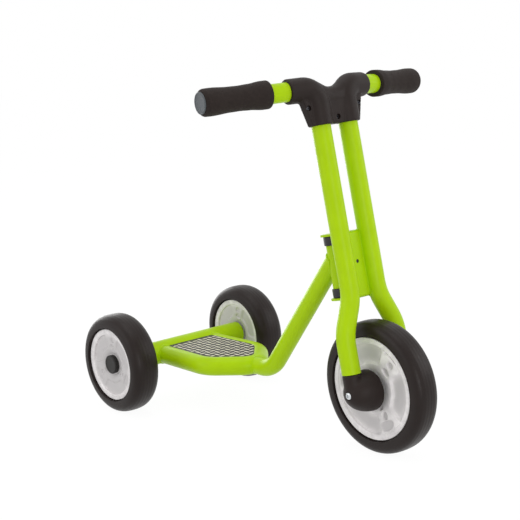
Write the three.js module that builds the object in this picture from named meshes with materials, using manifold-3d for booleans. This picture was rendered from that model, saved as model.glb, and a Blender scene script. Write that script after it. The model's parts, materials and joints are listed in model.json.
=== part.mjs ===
// A three wheel kids scooter: a welded steel tube frame with a low deck between two rear wheels,
// and a raked twin tube fork that carries one larger front wheel and a swept handlebar.
// Millimetres, +Z up, +X forward, +Y to the rider's left. The origin is on the ground, under the
// middle of the whole scooter.
import * as THREE from 'three';
import { mergeVertices } from 'three/addons/utils/BufferGeometryUtils.js';
import Module from 'manifold-3d';

const wasm = await Module();
wasm.setup();

// Driving dimensions of the whole scooter
const wheelbase = 589;
const rearTrack = 334.4;
const frontWheelRadius = 122.5;
const rearWheelRadius = 102.5;
const rakeDegrees = 10.7;

// Clearances and the overrun of every cut
const fit = 0.3;
const overrun = 4;

// Mesh fineness, as counts
const wheelSegments = 24;
const tubeSides = 16;
const boreSides = 8;
const turnSegments = 12;
const roundSegments = 20;
const screwSegments = 12;
const bendStepDegrees = 25;

// Fork and handlebar tubes, in the steering frame: z runs up the steering axis from the front axle
const forkTubeRadius = 17.5;
const forkTubeWall = 2.3;
const forkTubeOffset = 33.5;
const forkLegOffset = 64;
const forkLegEnd = 36.8;
const splayLow = 106;
const splayRise = 63;
const splayBendRadius = 86;
const barHeight = 547;
const barEndOffset = 255.2;
const barBendRadius = 38;
const sweepDegrees = 10;

// Steering head
const headOffset = 53;
const headTubeRadius = 18;
const headTubeWall = 2.5;
const headTubeLength = 80;
const headBushRim = 2.5;
const headBushHeight = 16.6;
const headBushSpigot = 14;
const bracketBottom = 164;
const bracketThickness = 4;
const bracketEndRadius = 25;
const bracketBendRadius = 7;
const bracketFront = -2.2;
const bracketHoleRadius = 3.5;
const bracketHoleRise = 66.5;
const pivotRadius = 8;
const pivotScrewRadius = 4;
const pivotScrewHeadRadius = 7.6;
const pivotScrewLength = 18;

// Handlebar cover, two moulded halves round the two bends
const coverWall = 4.5;
const coverBendRadius = 27;
const coverArmEnd = 92;
const coverLowerReach = 66.5;
const coverWebFront = 12;
const coverWebSideReach = 68.5;
const coverSaddleRise = 1.5;
const coverSaddleReach = 60;
const coverSaddleSteps = 10;
const coverScrewRadius = 2.5;
const coverScrewHeadRadius = 4.4;
const coverScrewHeadHeight = 2.6;
const coverScrewDepth = 14;
const coverSideScrewInset = 3.1;
const coverSideScrewRise = 32.5;
const coverMiddleScrewRise = 11.5;

// Grips
const gripStart = 130;
const gripEndOverhang = 4.35;
const gripFlareWall = 7.6;
const gripWaistWall = 4.4;
const gripBulgeWall = 6.7;
const gripEndRounding = 7;
const gripLipRounding = 0.8;
const gripLengthShares = [0, 0.04, 0.09, 0.36, 0.56, 0.86];
const gripCapRim = 1.8;
const gripCapThickness = 2.4;
const gripCapStem = 16;

// Front axle and fork end covers
const axleRadius = 6;
const dropoutThickness = 6;
const dropoutReachIntoTube = 26;
const endCoverRadius = 37;
const endCoverCrown = 18.2;
const endCoverWall = 3.2;
const endCoverTyreGap = 0.4;
const axleScrewRadius = 4;
const axleScrewHeadRadius = 7;
const axleScrewHeadHeight = 4.2;
const axleScrewGrip = 16;
const axleScrewSeatReach = 14.5;
const socketRadiusShare = 0.42;
const socketDepthShare = 0.6;

// Wheels
const frontTyreWidth = 54;
const rearTyreWidth = 62;
const frontTyreHeight = 27.8;
const rearTyreHeight = 28.2;
const frontLipInset = 3.1;
const rearLipInset = 4.85;
const lipWidth = 6;
const lipHeight = 6;
const lipFaceWidth = 9;
const lipStep = 1.6;
const rimWall = 5;
const hubRadius = 21;
const frontHubHalfLength = 12;
const rearHubHalfLength = 17;
const bearingRadius = 14;
const bearingWidth = 8;
const pocketDepth = 3;
const pocketFloorShare = 0.55;
const pocketCount = 3;
const pocketSpokeAngle = 0.3;
const tyreRoundness = 3.2;
const spacerRadius = 9.5;

// Rear axle
const axleTubeRadius = 24.15;
const axleTubeWall = 2.9;
const rearSpacerLength = 4.6;
const axlePlugDepth = 12;
const lockNutWall = 1.5;
const lockNutHeight = 5;
const hubCapRadius = 18.75;
const hubCapWall = 1.8;
const hubCapRoom = 1.4;
const hubCapRounding = 2.2;

// Deck
const deckTubeRadius = 19.05;
const deckTubeWall = 2.6;
const deckDrop = 2;
const deckRearHalfWidth = 66.6;
const deckHalfWidth = 71;
const deckSideCorner = 424.3;
const deckNoseCorner = 345;
const deckSideBendRadius = 60;
const deckNoseBendRadius = 30;
const deckPlateSink = 1.75;
const deckPlateThickness = 3.4;
const deckPanThickness = 2;

// Down tube
const downTubeRadius = 17.5;
const downTubeWall = 2.3;
const downTubeStub = 59.4;
const downTubeHeadShare = 0.74;
const downTubeBendRadius = 62;

// Places that follow from the sizes above
const rake = THREE.MathUtils.degToRad(rakeDegrees);
const sweep = THREE.MathUtils.degToRad(sweepDegrees);
const frontAxleX = (wheelbase + rearWheelRadius - frontWheelRadius) / 2;
const rearAxleX = frontAxleX - wheelbase;
const splayHigh = splayLow + splayRise;
const headBushRadius = headTubeRadius + headBushRim;
const headTubeBottom = bracketBottom + bracketThickness + headBushHeight + 2 * fit;
const bracketTop = headTubeBottom + headTubeLength + headBushHeight + bracketThickness + 2 * fit;
const forkBore = forkTubeRadius - forkTubeWall;
const forkBoreFit = forkBore * Math.cos(Math.PI / boreSides) - fit;
const coverArmRadius = forkTubeRadius + fit + coverWall;
const coverLowerEnd = barHeight - coverLowerReach;
const gripLength = (barEndOffset - gripStart) / Math.cos(sweep) + gripEndOverhang;
const endCoverInnerFace = frontTyreWidth / 2 + endCoverTyreGap;
const endCoverDepth = forkLegOffset + endCoverCrown - endCoverInnerFace;
const axleScrewSeat = forkLegOffset + axleScrewSeatReach;
const axleTubeHalfLength = rearTrack / 2 - rearHubHalfLength - rearSpacerLength - 2 * fit;
const deckHeight = rearWheelRadius - deckDrop;
const deckPlateTop = deckHeight + deckTubeRadius - deckPlateSink;
const deckFlank = Math.atan2(deckHalfWidth, deckSideCorner - deckNoseCorner);
const noseX = frontAxleX - deckNoseCorner - deckNoseBendRadius * (1 / Math.sin(deckFlank) - 1);

// A solid from a closed geometry: shared vertices merged, needle faces dropped, faces outwards
function solid(geometry) {
  const bare = geometry.index ? geometry.toNonIndexed() : geometry.clone();
  bare.deleteAttribute('normal');
  bare.deleteAttribute('uv');
  const merged = mergeVertices(bare, 1e-4);
  const index = merged.index.array;
  const corners = [];
  for (let i = 0; i < index.length; i += 3) {
    const [a, b, c] = [index[i], index[i + 1], index[i + 2]];
    if (a !== b && b !== c && c !== a) corners.push(a, b, c);
  }
  const places = merged.attributes.position.array;
  if (signedVolume(places, corners) < 0) corners.reverse();
  const mesh = new wasm.Mesh({
    numProp: 3,
    vertProperties: new Float32Array(places),
    triVerts: new Uint32Array(corners),
  });
  return new wasm.Manifold(mesh);
}

// Six times the volume that the faces enclose, negative when they point inwards
function signedVolume(places, corners) {
  const [a, b, c] = [new THREE.Vector3(), new THREE.Vector3(), new THREE.Vector3()];
  let volume = 0;
  for (let i = 0; i < corners.length; i += 3) {
    a.fromArray(places, 3 * corners[i]);
    b.fromArray(places, 3 * corners[i + 1]);
    c.fromArray(places, 3 * corners[i + 2]);
    volume += a.dot(b.cross(c));
  }
  return volume;
}

// The geometry of a solid
function geometryOf(body) {
  const { vertProperties, triVerts } = body.getMesh();
  const geometry = new THREE.BufferGeometry();
  geometry.setAttribute('position', new THREE.BufferAttribute(new Float32Array(vertProperties), 3));
  geometry.setIndex(new THREE.BufferAttribute(new Uint32Array(triVerts), 1));
  geometry.computeVertexNormals();
  return geometry;
}

// The radius of a many sided bore that a round bar passes at any turn, with the gap
function boreRound(radius, gap = fit, segments = turnSegments) {
  return (radius + gap) / Math.cos(Math.PI / segments);
}

// A finish, shared by every piece that has it
function finish(colour, roughness, metalness) {
  return new THREE.MeshStandardMaterial({ color: colour, roughness, metalness });
}

const greenPaint = finish(0xb0d820, 0.35, 0.1);
const darkPlastic = finish(0x302a28, 0.6, 0);
const gripRubber = finish(0x38302d, 0.8, 0);
const tyreRubber = finish(0x2d2826, 0.75, 0);
const whitePlastic = finish(0xdcdada, 0.45, 0);
const greyPlastic = finish(0x7d8084, 0.5, 0);
const capPlastic = finish(0x3c3e3e, 0.5, 0);
const bushPlastic = finish(0x2a2830, 0.5, 0);
const zincSteel = finish(0xc4c8cc, 0.35, 0.9);
const darkSteel = finish(0x55585c, 0.45, 0.8);
const deckRubber = finish(0x463c32, 0.85, 0);

// A named piece of the scooter
function piece(name, body, material) {
  const mesh = new THREE.Mesh(geometryOf(body), material);
  mesh.name = name;
  return mesh;
}

// A curve through stations that hold a point and a direction each, so a bend gets its own steps
class BentPath extends THREE.Curve {
  constructor(stations) {
    super();
    this.stations = stations;
  }

  stationAt(share) {
    return this.stations[Math.round(share * (this.stations.length - 1))];
  }

  getPointAt(share, target = new THREE.Vector3()) {
    return target.copy(this.stationAt(share).point);
  }

  getTangentAt(share, target = new THREE.Vector3()) {
    return target.copy(this.stationAt(share).direction);
  }
}

// Straight runs between corners, with each inner corner rounded to its own bend radius
function bentPath(corners, radii) {
  const points = corners.map((corner) => new THREE.Vector3(...corner));
  const last = points.length - 1;
  const headings = [];
  for (let i = 0; i < last; i += 1) headings.push(points[i + 1].clone().sub(points[i]).normalize());
  const stations = [{ point: points[0], direction: headings[0] }];
  for (let i = 1; i < last; i += 1) {
    const [before, after] = [headings[i - 1], headings[i]];
    const turn = before.angleTo(after);
    const radius = radii[i - 1];
    const start = points[i].clone().addScaledVector(before, -radius * Math.tan(turn / 2));
    const inward = after.clone().addScaledVector(before, -after.dot(before)).normalize();
    const steps = Math.ceil(THREE.MathUtils.radToDeg(turn) / bendStepDegrees);
    for (let k = 0; k <= steps; k += 1) {
      const angle = (turn * k) / steps;
      const point = start.clone().addScaledVector(before, radius * Math.sin(angle));
      point.addScaledVector(inward, radius * (1 - Math.cos(angle)));
      const direction = before.clone().multiplyScalar(Math.cos(angle));
      stations.push({ point, direction: direction.addScaledVector(inward, Math.sin(angle)) });
    }
  }
  stations.push({ point: points[last], direction: headings[last - 1] });
  return new BentPath(stations);
}

// The corners of a round section
function roundSection(radius, sides) {
  const corners = [];
  for (let i = 0; i < sides; i += 1) {
    const angle = (2 * Math.PI * i) / sides;
    corners.push(new THREE.Vector2(radius * Math.cos(angle), radius * Math.sin(angle)));
  }
  return corners;
}

// A round bar along a path, or a tube when it has a bore
function roundBar(path, radius, bore = 0) {
  const section = new THREE.Shape(roundSection(radius, tubeSides));
  if (bore > 0) section.holes.push(new THREE.Path(roundSection(bore, boreSides)));
  const steps = path.stations.length - 1;
  return solid(new THREE.ExtrudeGeometry(section, { steps, extrudePath: path }));
}

// A turned shape about the Y axis. Its profile lists radius and height, closes on itself, and
// may touch the axis only at its first and last point.
function turned(profile, segments = turnSegments) {
  const points = profile.map(([radius, height]) => new THREE.Vector2(radius, height));
  const onAxis = profile[0][0] === 0;
  if (!onAxis) points.push(points[0].clone());
  return new THREE.LatheGeometry(points, segments);
}

// A ring or sleeve along Y
function sleeve(inner, outer, low, high, segments = turnSegments) {
  return turned([[inner, low], [outer, low], [outer, high], [inner, high]], segments);
}

// A plain rod along Y
function rod(radius, low, high, segments = turnSegments) {
  return turned([[0, low], [radius, low], [radius, high], [0, high]], segments);
}

// A flat outline in X and Y, thickened from one height to another
function slab(outline, low, high, holes = []) {
  const shape = new THREE.Shape(outline);
  holes.forEach((hole) => shape.holes.push(new THREE.Path(hole)));
  const geometry = new THREE.ExtrudeGeometry(shape, { depth: high - low, bevelEnabled: false });
  return geometry.translate(0, 0, low);
}

// Points of an arc, both ends included
function arcPoints(x, y, radius, from, to, steps) {
  const points = [];
  for (let i = 0; i <= steps; i += 1) {
    const angle = from + ((to - from) * i) / steps;
    points.push(new THREE.Vector2(x + radius * Math.cos(angle), y + radius * Math.sin(angle)));
  }
  return points;
}

// A hexagon socket along Y in the top of a screw's head, whose top stands at a given height
function hexSocket(headRadius, headHeight, top) {
  const radius = headRadius * socketRadiusShare;
  const depth = headHeight * socketDepthShare;
  const socket = new THREE.CylinderGeometry(radius, radius, depth + overrun, 6);
  return solid(socket.translate(0, top + (overrun - depth) / 2, 0));
}

// A button head screw along Y: its head stands above height zero and its shank runs below
function buttonScrew(shankRadius, shankLength, headRadius, headHeight) {
  const profile = [[0, -shankLength], [shankRadius, -shankLength], [shankRadius, 0]];
  const steps = 2;
  for (let i = 0; i < steps; i += 1) {
    const angle = (Math.PI / 2) * (i / steps);
    profile.push([headRadius * Math.cos(angle), headHeight * Math.sin(angle)]);
  }
  profile.push([0, headHeight]);
  return solid(turned(profile, screwSegments)).subtract(hexSocket(headRadius, headHeight, headHeight));
}

// The path of the deck's bent tube, or of a line drawn inside it by an inset
function deckOutline(inset) {
  const sideX = frontAxleX - deckSideCorner;
  const corners = [
    [rearAxleX, deckRearHalfWidth, deckHeight],
    [sideX, deckHalfWidth, deckHeight],
    [frontAxleX - deckNoseCorner, 0, deckHeight],
    [sideX, -deckHalfWidth, deckHeight],
    [rearAxleX, -deckRearHalfWidth, deckHeight],
  ];
  const { stations } = bentPath(corners, [deckSideBendRadius, deckNoseBendRadius, deckSideBendRadius]);
  return stations.map(({ point, direction }) => {
    const sideways = new THREE.Vector3(direction.y, -direction.x, 0);
    return { point: point.clone().addScaledVector(sideways, inset), direction };
  });
}

// A plate that fills the deck's loop between two heights, with an edge that follows the tubes
function deckPlate(low, high) {
  const closest = Math.sqrt(deckTubeRadius ** 2 - (high - deckHeight) ** 2);
  const outline = deckOutline(closest + fit).map(({ point }) => new THREE.Vector2(point.x, point.y));
  const loopSpace = roundBar(new BentPath(deckOutline(0)), deckTubeRadius + fit);
  return solid(slab(outline, low, high)).subtract(loopSpace).subtract(axleTubeSpace());
}

// The space that the rear axle tube takes, with the gap round it
function axleTubeSpace() {
  const space = rod(axleTubeRadius + fit, -axleTubeHalfLength, axleTubeHalfLength, wheelSegments);
  return solid(space.translate(rearAxleX, 0, rearWheelRadius));
}

// The deck: bent tube loop, pan and tread plate
function makeDeck(group) {
  const loopPath = new BentPath(deckOutline(0));
  const loop = roundBar(loopPath, deckTubeRadius, deckTubeRadius - deckTubeWall).subtract(axleTubeSpace());
  group.add(piece('deck_loop_tube', loop, greenPaint));
  const panTop = deckPlateTop - deckPlateThickness - fit;
  group.add(piece('deck_pan', deckPlate(panTop - deckPanThickness, panTop), greenPaint));
  const plate = deckPlate(deckPlateTop - deckPlateThickness, deckPlateTop);
  group.add(piece('deck_tread_plate', plate, deckRubber));
}

// The rear axle: cross tube, end plugs, rod, and the spacers and lock nuts that hold the wheels
function makeRearAxle(group) {
  const axle = new THREE.Group();
  axle.position.set(rearAxleX, 0, rearWheelRadius);
  group.add(axle);
  const bore = axleTubeRadius - axleTubeWall;
  const tube = sleeve(bore, axleTubeRadius, -axleTubeHalfLength, axleTubeHalfLength, wheelSegments);
  axle.add(piece('rear_axle_tube', solid(tube), greenPaint));
  const hubInner = rearTrack / 2 - rearHubHalfLength;
  const hubOuter = rearTrack / 2 + rearHubHalfLength;
  const nutOuter = hubOuter + fit + lockNutHeight;
  axle.add(piece('rear_axle_rod', solid(rod(axleRadius, -nutOuter, nutOuter)), zincSteel));
  for (const [side, name] of [[1, 'left'], [-1, 'right']]) {
    const turn = side > 0 ? 0 : Math.PI;
    const plug = sleeve(axleRadius + fit, bore - fit, axleTubeHalfLength - axlePlugDepth, axleTubeHalfLength);
    const spacer = sleeve(axleRadius + fit, spacerRadius, axleTubeHalfLength + fit, hubInner - fit);
    const nutRadius = (axleRadius + fit + lockNutWall) / Math.cos(Math.PI / 6);
    const nut = new THREE.CylinderGeometry(nutRadius, nutRadius, lockNutHeight, 6);
    nut.translate(0, nutOuter - lockNutHeight / 2, 0);
    const nutBore = rod(axleRadius + fit, hubOuter, nutOuter + overrun).rotateX(turn);
    axle.add(piece(`rear_axle_plug_${name}`, solid(plug.rotateX(turn)), darkSteel));
    axle.add(piece(`rear_axle_spacer_${name}`, solid(spacer.rotateX(turn)), zincSteel));
    axle.add(piece(`rear_lock_nut_${name}`, solid(nut.rotateX(turn)).subtract(solid(nutBore)), zincSteel));
  }
}

// The down tube from the head tube to the nose of the deck, cut to both
function makeDownTube(group) {
  const headCentre = steeringPoint(-headOffset, 0, headTubeBottom + headTubeLength * downTubeHeadShare);
  const corners = [headCentre.toArray(), [noseX + downTubeStub, 0, deckHeight], [noseX, 0, deckHeight]];
  const path = bentPath(corners, [downTubeBendRadius]);
  const tube = roundBar(path, downTubeRadius, downTubeRadius - downTubeWall);
  const headSpace = rod(headTubeRadius + fit, -headTubeLength, headTubeLength, tubeSides);
  headSpace.rotateX(Math.PI / 2).rotateY(-rake).translate(headCentre.x, headCentre.y, headCentre.z);
  const noseSpace = roundBar(new BentPath(deckOutline(0)), deckTubeRadius + fit);
  const cut = tube.subtract(solid(headSpace)).subtract(noseSpace);
  group.add(piece('down_tube', cut, greenPaint));
}

// A point of the steering frame in the scooter's frame
function steeringPoint(x, y, z) {
  const point = new THREE.Vector3(x, y, z).applyAxisAngle(new THREE.Vector3(0, 1, 0), -rake);
  return point.add(new THREE.Vector3(frontAxleX, 0, frontWheelRadius));
}

// The head tube with its two bushes, fixed to the frame
function makeHead(steering) {
  const bore = headTubeRadius - headTubeWall;
  const tube = sleeve(bore, headTubeRadius, 0, headTubeLength, tubeSides);
  const head = new THREE.Group();
  head.position.set(-headOffset, 0, headTubeBottom);
  steering.add(head);
  head.add(piece('head_tube', solid(tube.rotateX(Math.PI / 2)), greenPaint));
  const bush = turned([
    [boreRound(pivotRadius, fit, tubeSides), fit - headBushSpigot],
    [bore - fit, fit - headBushSpigot],
    [bore - fit, fit],
    [headBushRadius, fit],
    [headBushRadius, fit + headBushHeight],
    [boreRound(pivotRadius, fit, tubeSides), fit + headBushHeight],
  ], tubeSides);
  const upper = bush.clone().rotateX(Math.PI / 2).translate(0, 0, headTubeLength);
  const lower = bush.clone().rotateX(-Math.PI / 2);
  head.add(piece('head_bush_upper', solid(upper), bushPlastic));
  head.add(piece('head_bush_lower', solid(lower), bushPlastic));
}

// The corners of one half of the handlebar, from a height on the steering column to its end
function barCorners(side, low, endOffset) {
  const back = (endOffset - forkTubeOffset) * Math.tan(sweep);
  return [
    [0, side * forkTubeOffset, low],
    [0, side * forkTubeOffset, barHeight],
    [-back, side * endOffset, barHeight],
  ];
}

// The path of one fork leg, its splay and its half of the handlebar, all one bent tube
function forkPath(side) {
  const leg = [[0, side * forkLegOffset, forkLegEnd], [0, side * forkLegOffset, splayLow]];
  const corners = [...leg, ...barCorners(side, splayHigh, barEndOffset)];
  return bentPath(corners, [splayBendRadius, splayBendRadius, barBendRadius]);
}

// The folded bracket that joins the two fork tubes and holds the pivot
function makeBracket(steering) {
  const rearX = -headOffset;
  const inner = bracketBendRadius - bracketThickness;
  const backX = bracketFront - bracketThickness;
  const topInner = bracketTop - bracketThickness;
  const lowInner = bracketBottom + bracketThickness;
  const bendX = bracketFront - bracketBendRadius;
  const quarter = Math.PI / 2;
  const outline = [
    new THREE.Vector2(rearX, bracketBottom),
    ...arcPoints(bendX, bracketBottom + bracketBendRadius, bracketBendRadius, -quarter, 0, 4),
    ...arcPoints(bendX, bracketTop - bracketBendRadius, bracketBendRadius, 0, quarter, 4),
    new THREE.Vector2(rearX, bracketTop),
    new THREE.Vector2(rearX, topInner),
    ...arcPoints(backX - inner, topInner - inner, inner, quarter, 0, 3),
    ...arcPoints(backX - inner, lowInner + inner, inner, 0, -quarter, 3),
    new THREE.Vector2(rearX, lowInner),
  ];
  const channel = slab(outline, -bracketEndRadius, bracketEndRadius).rotateX(Math.PI / 2);
  const flangeFront = backX - inner;
  const flangeOutline = [
    new THREE.Vector2(flangeFront, -bracketEndRadius),
    new THREE.Vector2(flangeFront, bracketEndRadius),
    ...arcPoints(rearX, 0, bracketEndRadius, quarter, 3 * quarter, 12),
  ];
  let bracket = solid(channel);
  bracket = bracket.add(solid(slab(flangeOutline, bracketBottom, lowInner)));
  bracket = bracket.add(solid(slab(flangeOutline, topInner, bracketTop)));
  for (const side of [1, -1]) bracket = bracket.subtract(roundBar(forkPath(side), forkTubeRadius + fit));
  const hole = rod(bracketHoleRadius, -overrun, overrun).rotateZ(quarter);
  bracket = bracket.subtract(solid(hole.translate(bracketFront, 0, bracketBottom + bracketHoleRise)));
  for (const [height, turn] of [[bracketTop, 0], [bracketBottom, Math.PI]]) {
    const seat = solid(countersunk(fit).rotateX(quarter + turn).translate(rearX, 0, height));
    bracket = bracket.subtract(seat);
  }
  steering.add(piece('head_bracket', bracket, greenPaint));
}

// A countersunk screw along Y, its flat head at height zero, or the space for it with a gap
function countersunk(gap) {
  const cone = pivotScrewHeadRadius - pivotScrewRadius;
  const top = gap > 0 ? overrun : 0;
  const profile = [
    [0, -pivotScrewLength - gap],
    [pivotScrewRadius + gap, -pivotScrewLength - gap],
    [pivotScrewRadius + gap, -cone - gap],
    [pivotScrewHeadRadius + gap, -gap],
  ];
  if (gap > 0) profile.push([pivotScrewHeadRadius + gap, top]);
  profile.push([0, top]);
  return turned(profile, screwSegments);
}

// The pivot pin between the bracket's flanges and the screw that holds it at each end
function makePivot(steering) {
  const low = bracketBottom + bracketThickness + fit;
  const high = bracketTop - bracketThickness - fit;
  let pin = solid(rod(pivotRadius, low, high).rotateX(Math.PI / 2).translate(-headOffset, 0, 0));
  const ends = [['upper', bracketTop, 0], ['lower', bracketBottom, Math.PI]];
  for (const [, height, turn] of ends) {
    const seat = countersunk(fit).rotateX(Math.PI / 2 + turn).translate(-headOffset, 0, height);
    pin = pin.subtract(solid(seat));
  }
  steering.add(piece('pivot_pin', pin, darkSteel));
  for (const [name, height, turn] of ends) {
    const headHeight = pivotScrewHeadRadius - pivotScrewRadius;
    const screw = solid(countersunk(0)).subtract(hexSocket(pivotScrewHeadRadius, headHeight, 0));
    const placed = geometryOf(screw).rotateX(Math.PI / 2 + turn).translate(-headOffset, 0, height);
    steering.add(piece(`pivot_screw_${name}`, solid(placed), darkSteel));
  }
}

// How far the cover's gusset reaches sideways at a height between its lower end and the arm
function coverEdgeAt(height) {
  const lower = forkTubeOffset + coverArmRadius - fit;
  const share = (height - coverLowerEnd) / (barHeight - coverArmRadius - coverLowerEnd);
  return lower + (coverWebSideReach - lower) * share;
}

// The outer shape of both handlebar cover halves together, without its bores
function coverBlank() {
  const outline = [];
  const rise = coverArmRadius - coverSaddleRise - fit;
  for (let i = 0; i <= coverSaddleSteps; i += 1) {
    const share = 1 - (2 * i) / coverSaddleSteps;
    const height = barHeight + coverSaddleRise + (rise * (1 - Math.cos(Math.PI * share))) / 2;
    outline.push(new THREE.Vector2(share * coverSaddleReach, height));
  }
  const armUnderside = barHeight - coverArmRadius;
  outline.push(
    new THREE.Vector2(-coverWebSideReach, barHeight),
    new THREE.Vector2(-coverWebSideReach, armUnderside),
    new THREE.Vector2(-coverEdgeAt(coverLowerEnd), coverLowerEnd),
    new THREE.Vector2(coverEdgeAt(coverLowerEnd), coverLowerEnd),
    new THREE.Vector2(coverWebSideReach, armUnderside),
    new THREE.Vector2(coverWebSideReach, barHeight),
  );
  const web = slab(outline, -coverWebFront, coverWebFront).rotateX(Math.PI / 2).rotateZ(Math.PI / 2);
  let blank = solid(web);
  for (const side of [1, -1]) {
    const path = bentPath(barCorners(side, coverLowerEnd, coverArmEnd), [coverBendRadius]);
    blank = blank.add(roundBar(path, coverArmRadius));
  }
  return blank;
}

// The front half of the space, split along the swept centre line of the arms
function coverFrontSpace(gap) {
  const width = coverArmEnd + overrun;
  const back = -(width - forkTubeOffset) * Math.tan(sweep) + gap;
  const depth = 2 * coverArmRadius;
  const outline = [
    new THREE.Vector2(back, width),
    new THREE.Vector2(gap, forkTubeOffset),
    new THREE.Vector2(gap, -forkTubeOffset),
    new THREE.Vector2(back, -width),
    new THREE.Vector2(depth, -width),
    new THREE.Vector2(depth, width),
  ];
  return solid(slab(outline, coverLowerEnd - overrun, barHeight + depth));
}

// The handlebar cover halves and their three screws
function makeCover(steering) {
  let blank = coverBlank();
  for (const side of [1, -1]) {
    const path = bentPath(barCorners(side, coverLowerEnd - overrun, coverArmEnd + overrun), [barBendRadius]);
    blank = blank.subtract(roundBar(path, forkTubeRadius + fit));
  }
  const sideHeight = coverLowerEnd + coverSideScrewRise;
  const sideOffset = coverEdgeAt(sideHeight) - coverSideScrewInset;
  const screws = [
    ['left', sideOffset, sideHeight],
    ['right', -sideOffset, sideHeight],
    ['middle', 0, coverLowerEnd + coverMiddleScrewRise],
  ];
  const seatX = coverWebFront - coverScrewHeadHeight;
  let front = blank.intersect(coverFrontSpace(fit / 2));
  let back = blank.subtract(coverFrontSpace(-fit / 2));
  const holeDepth = coverScrewDepth + fit;
  for (const [, y, z] of screws) {
    const hole = rod(coverScrewRadius + fit, -holeDepth, overrun).rotateZ(-Math.PI / 2);
    const seat = rod(coverScrewHeadRadius + fit, 0, coverArmRadius).rotateZ(-Math.PI / 2);
    const holeSolid = solid(hole.translate(seatX, y, z));
    front = front.subtract(holeSolid).subtract(solid(seat.translate(seatX, y, z)));
    back = back.subtract(holeSolid);
  }
  steering.add(piece('handlebar_cover_front', front, darkPlastic));
  steering.add(piece('handlebar_cover_back', back, darkPlastic));
  for (const [name, y, z] of screws) {
    const screw = buttonScrew(coverScrewRadius, coverScrewDepth, coverScrewHeadRadius, coverScrewHeadHeight);
    const placed = geometryOf(screw).rotateZ(-Math.PI / 2).translate(seatX + fit, y, z);
    steering.add(piece(`cover_screw_${name}`, solid(placed), darkSteel));
  }
}

// The outline of a grip from its inner end to its outer end, as radius and height
function gripProfile() {
  const walls = [
    gripFlareWall - gripLipRounding,
    gripFlareWall,
    gripFlareWall,
    gripWaistWall,
    gripWaistWall,
    gripBulgeWall,
  ];
  const profile = [[boreRound(forkTubeRadius, fit, tubeSides), 0]];
  walls.forEach((wall, i) => profile.push([forkTubeRadius + wall, gripLength * gripLengthShares[i]]));
  const steps = 3;
  for (let i = 0; i <= steps; i += 1) {
    const angle = (Math.PI / 2) * (i / steps);
    const wall = gripBulgeWall - gripEndRounding * (1 - Math.cos(angle));
    profile.push([forkTubeRadius + wall, gripLength - gripEndRounding * (1 - Math.sin(angle))]);
  }
  profile.push([boreRound(forkTubeRadius, fit, tubeSides), gripLength]);
  return profile;
}

// The grips and the caps that close the tube ends
function makeGrips(steering) {
  const tubeEnd = gripLength - gripEndOverhang;
  const capRadius = forkTubeRadius + gripCapRim;
  const capTop = gripLength + fit + gripCapThickness;
  const shoulder = forkTubeRadius - fit;
  for (const [side, name] of [[1, 'left'], [-1, 'right']]) {
    const start = new THREE.Group();
    start.position.set(-(gripStart - forkTubeOffset) * Math.tan(sweep), side * gripStart, barHeight);
    start.rotation.set(side > 0 ? 0 : Math.PI, 0, sweep);
    steering.add(start);
    start.add(piece(`grip_${name}`, solid(turned(gripProfile(), tubeSides)), gripRubber));
    const cap = turned([
      [0, tubeEnd - gripCapStem],
      [forkBoreFit, tubeEnd - gripCapStem],
      [forkBoreFit, tubeEnd + fit],
      [shoulder, tubeEnd + fit],
      [shoulder, gripLength + fit],
      [capRadius, gripLength + fit],
      [capRadius - gripCapThickness / 2, capTop],
      [0, capTop],
    ]);
    start.add(piece(`grip_end_cap_${name}`, solid(cap), greyPlastic));
  }
}

// The steel tongue inside each fork end that carries the front axle
function dropoutBlank(side, gap) {
  const half = Math.sqrt(forkBoreFit ** 2 - (dropoutThickness / 2) ** 2) + gap;
  const top = forkLegEnd + dropoutReachIntoTube + gap;
  const outline = [...arcPoints(0, 0, half, Math.PI, 2 * Math.PI, 10)];
  outline.push(new THREE.Vector2(half, top), new THREE.Vector2(-half, top));
  const thickness = dropoutThickness / 2 + gap;
  const plate = slab(outline, -thickness, thickness).rotateX(Math.PI / 2);
  return plate.translate(0, side * forkLegOffset, 0);
}

// A quarter of an ellipse from the axis to the mouth of a dome, as radius and height
function domeArc(radius, depth) {
  const steps = 6;
  const points = [[0, endCoverInnerFace + depth]];
  for (let i = 1; i <= steps; i += 1) {
    const angle = (Math.PI / 2) * (i / steps);
    points.push([radius * Math.sin(angle), endCoverInnerFace + depth * Math.cos(angle)]);
  }
  return points;
}

// The moulded cover round each fork end: a hollow dome round the axle, open to the wheel
function endCoverBlank() {
  const innerDepth = endCoverDepth - endCoverWall - axleScrewHeadHeight;
  const inside = domeArc(endCoverRadius - endCoverWall, innerDepth);
  const outside = domeArc(endCoverRadius, endCoverDepth).reverse();
  return turned([...inside, ...outside], roundSegments);
}

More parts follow.
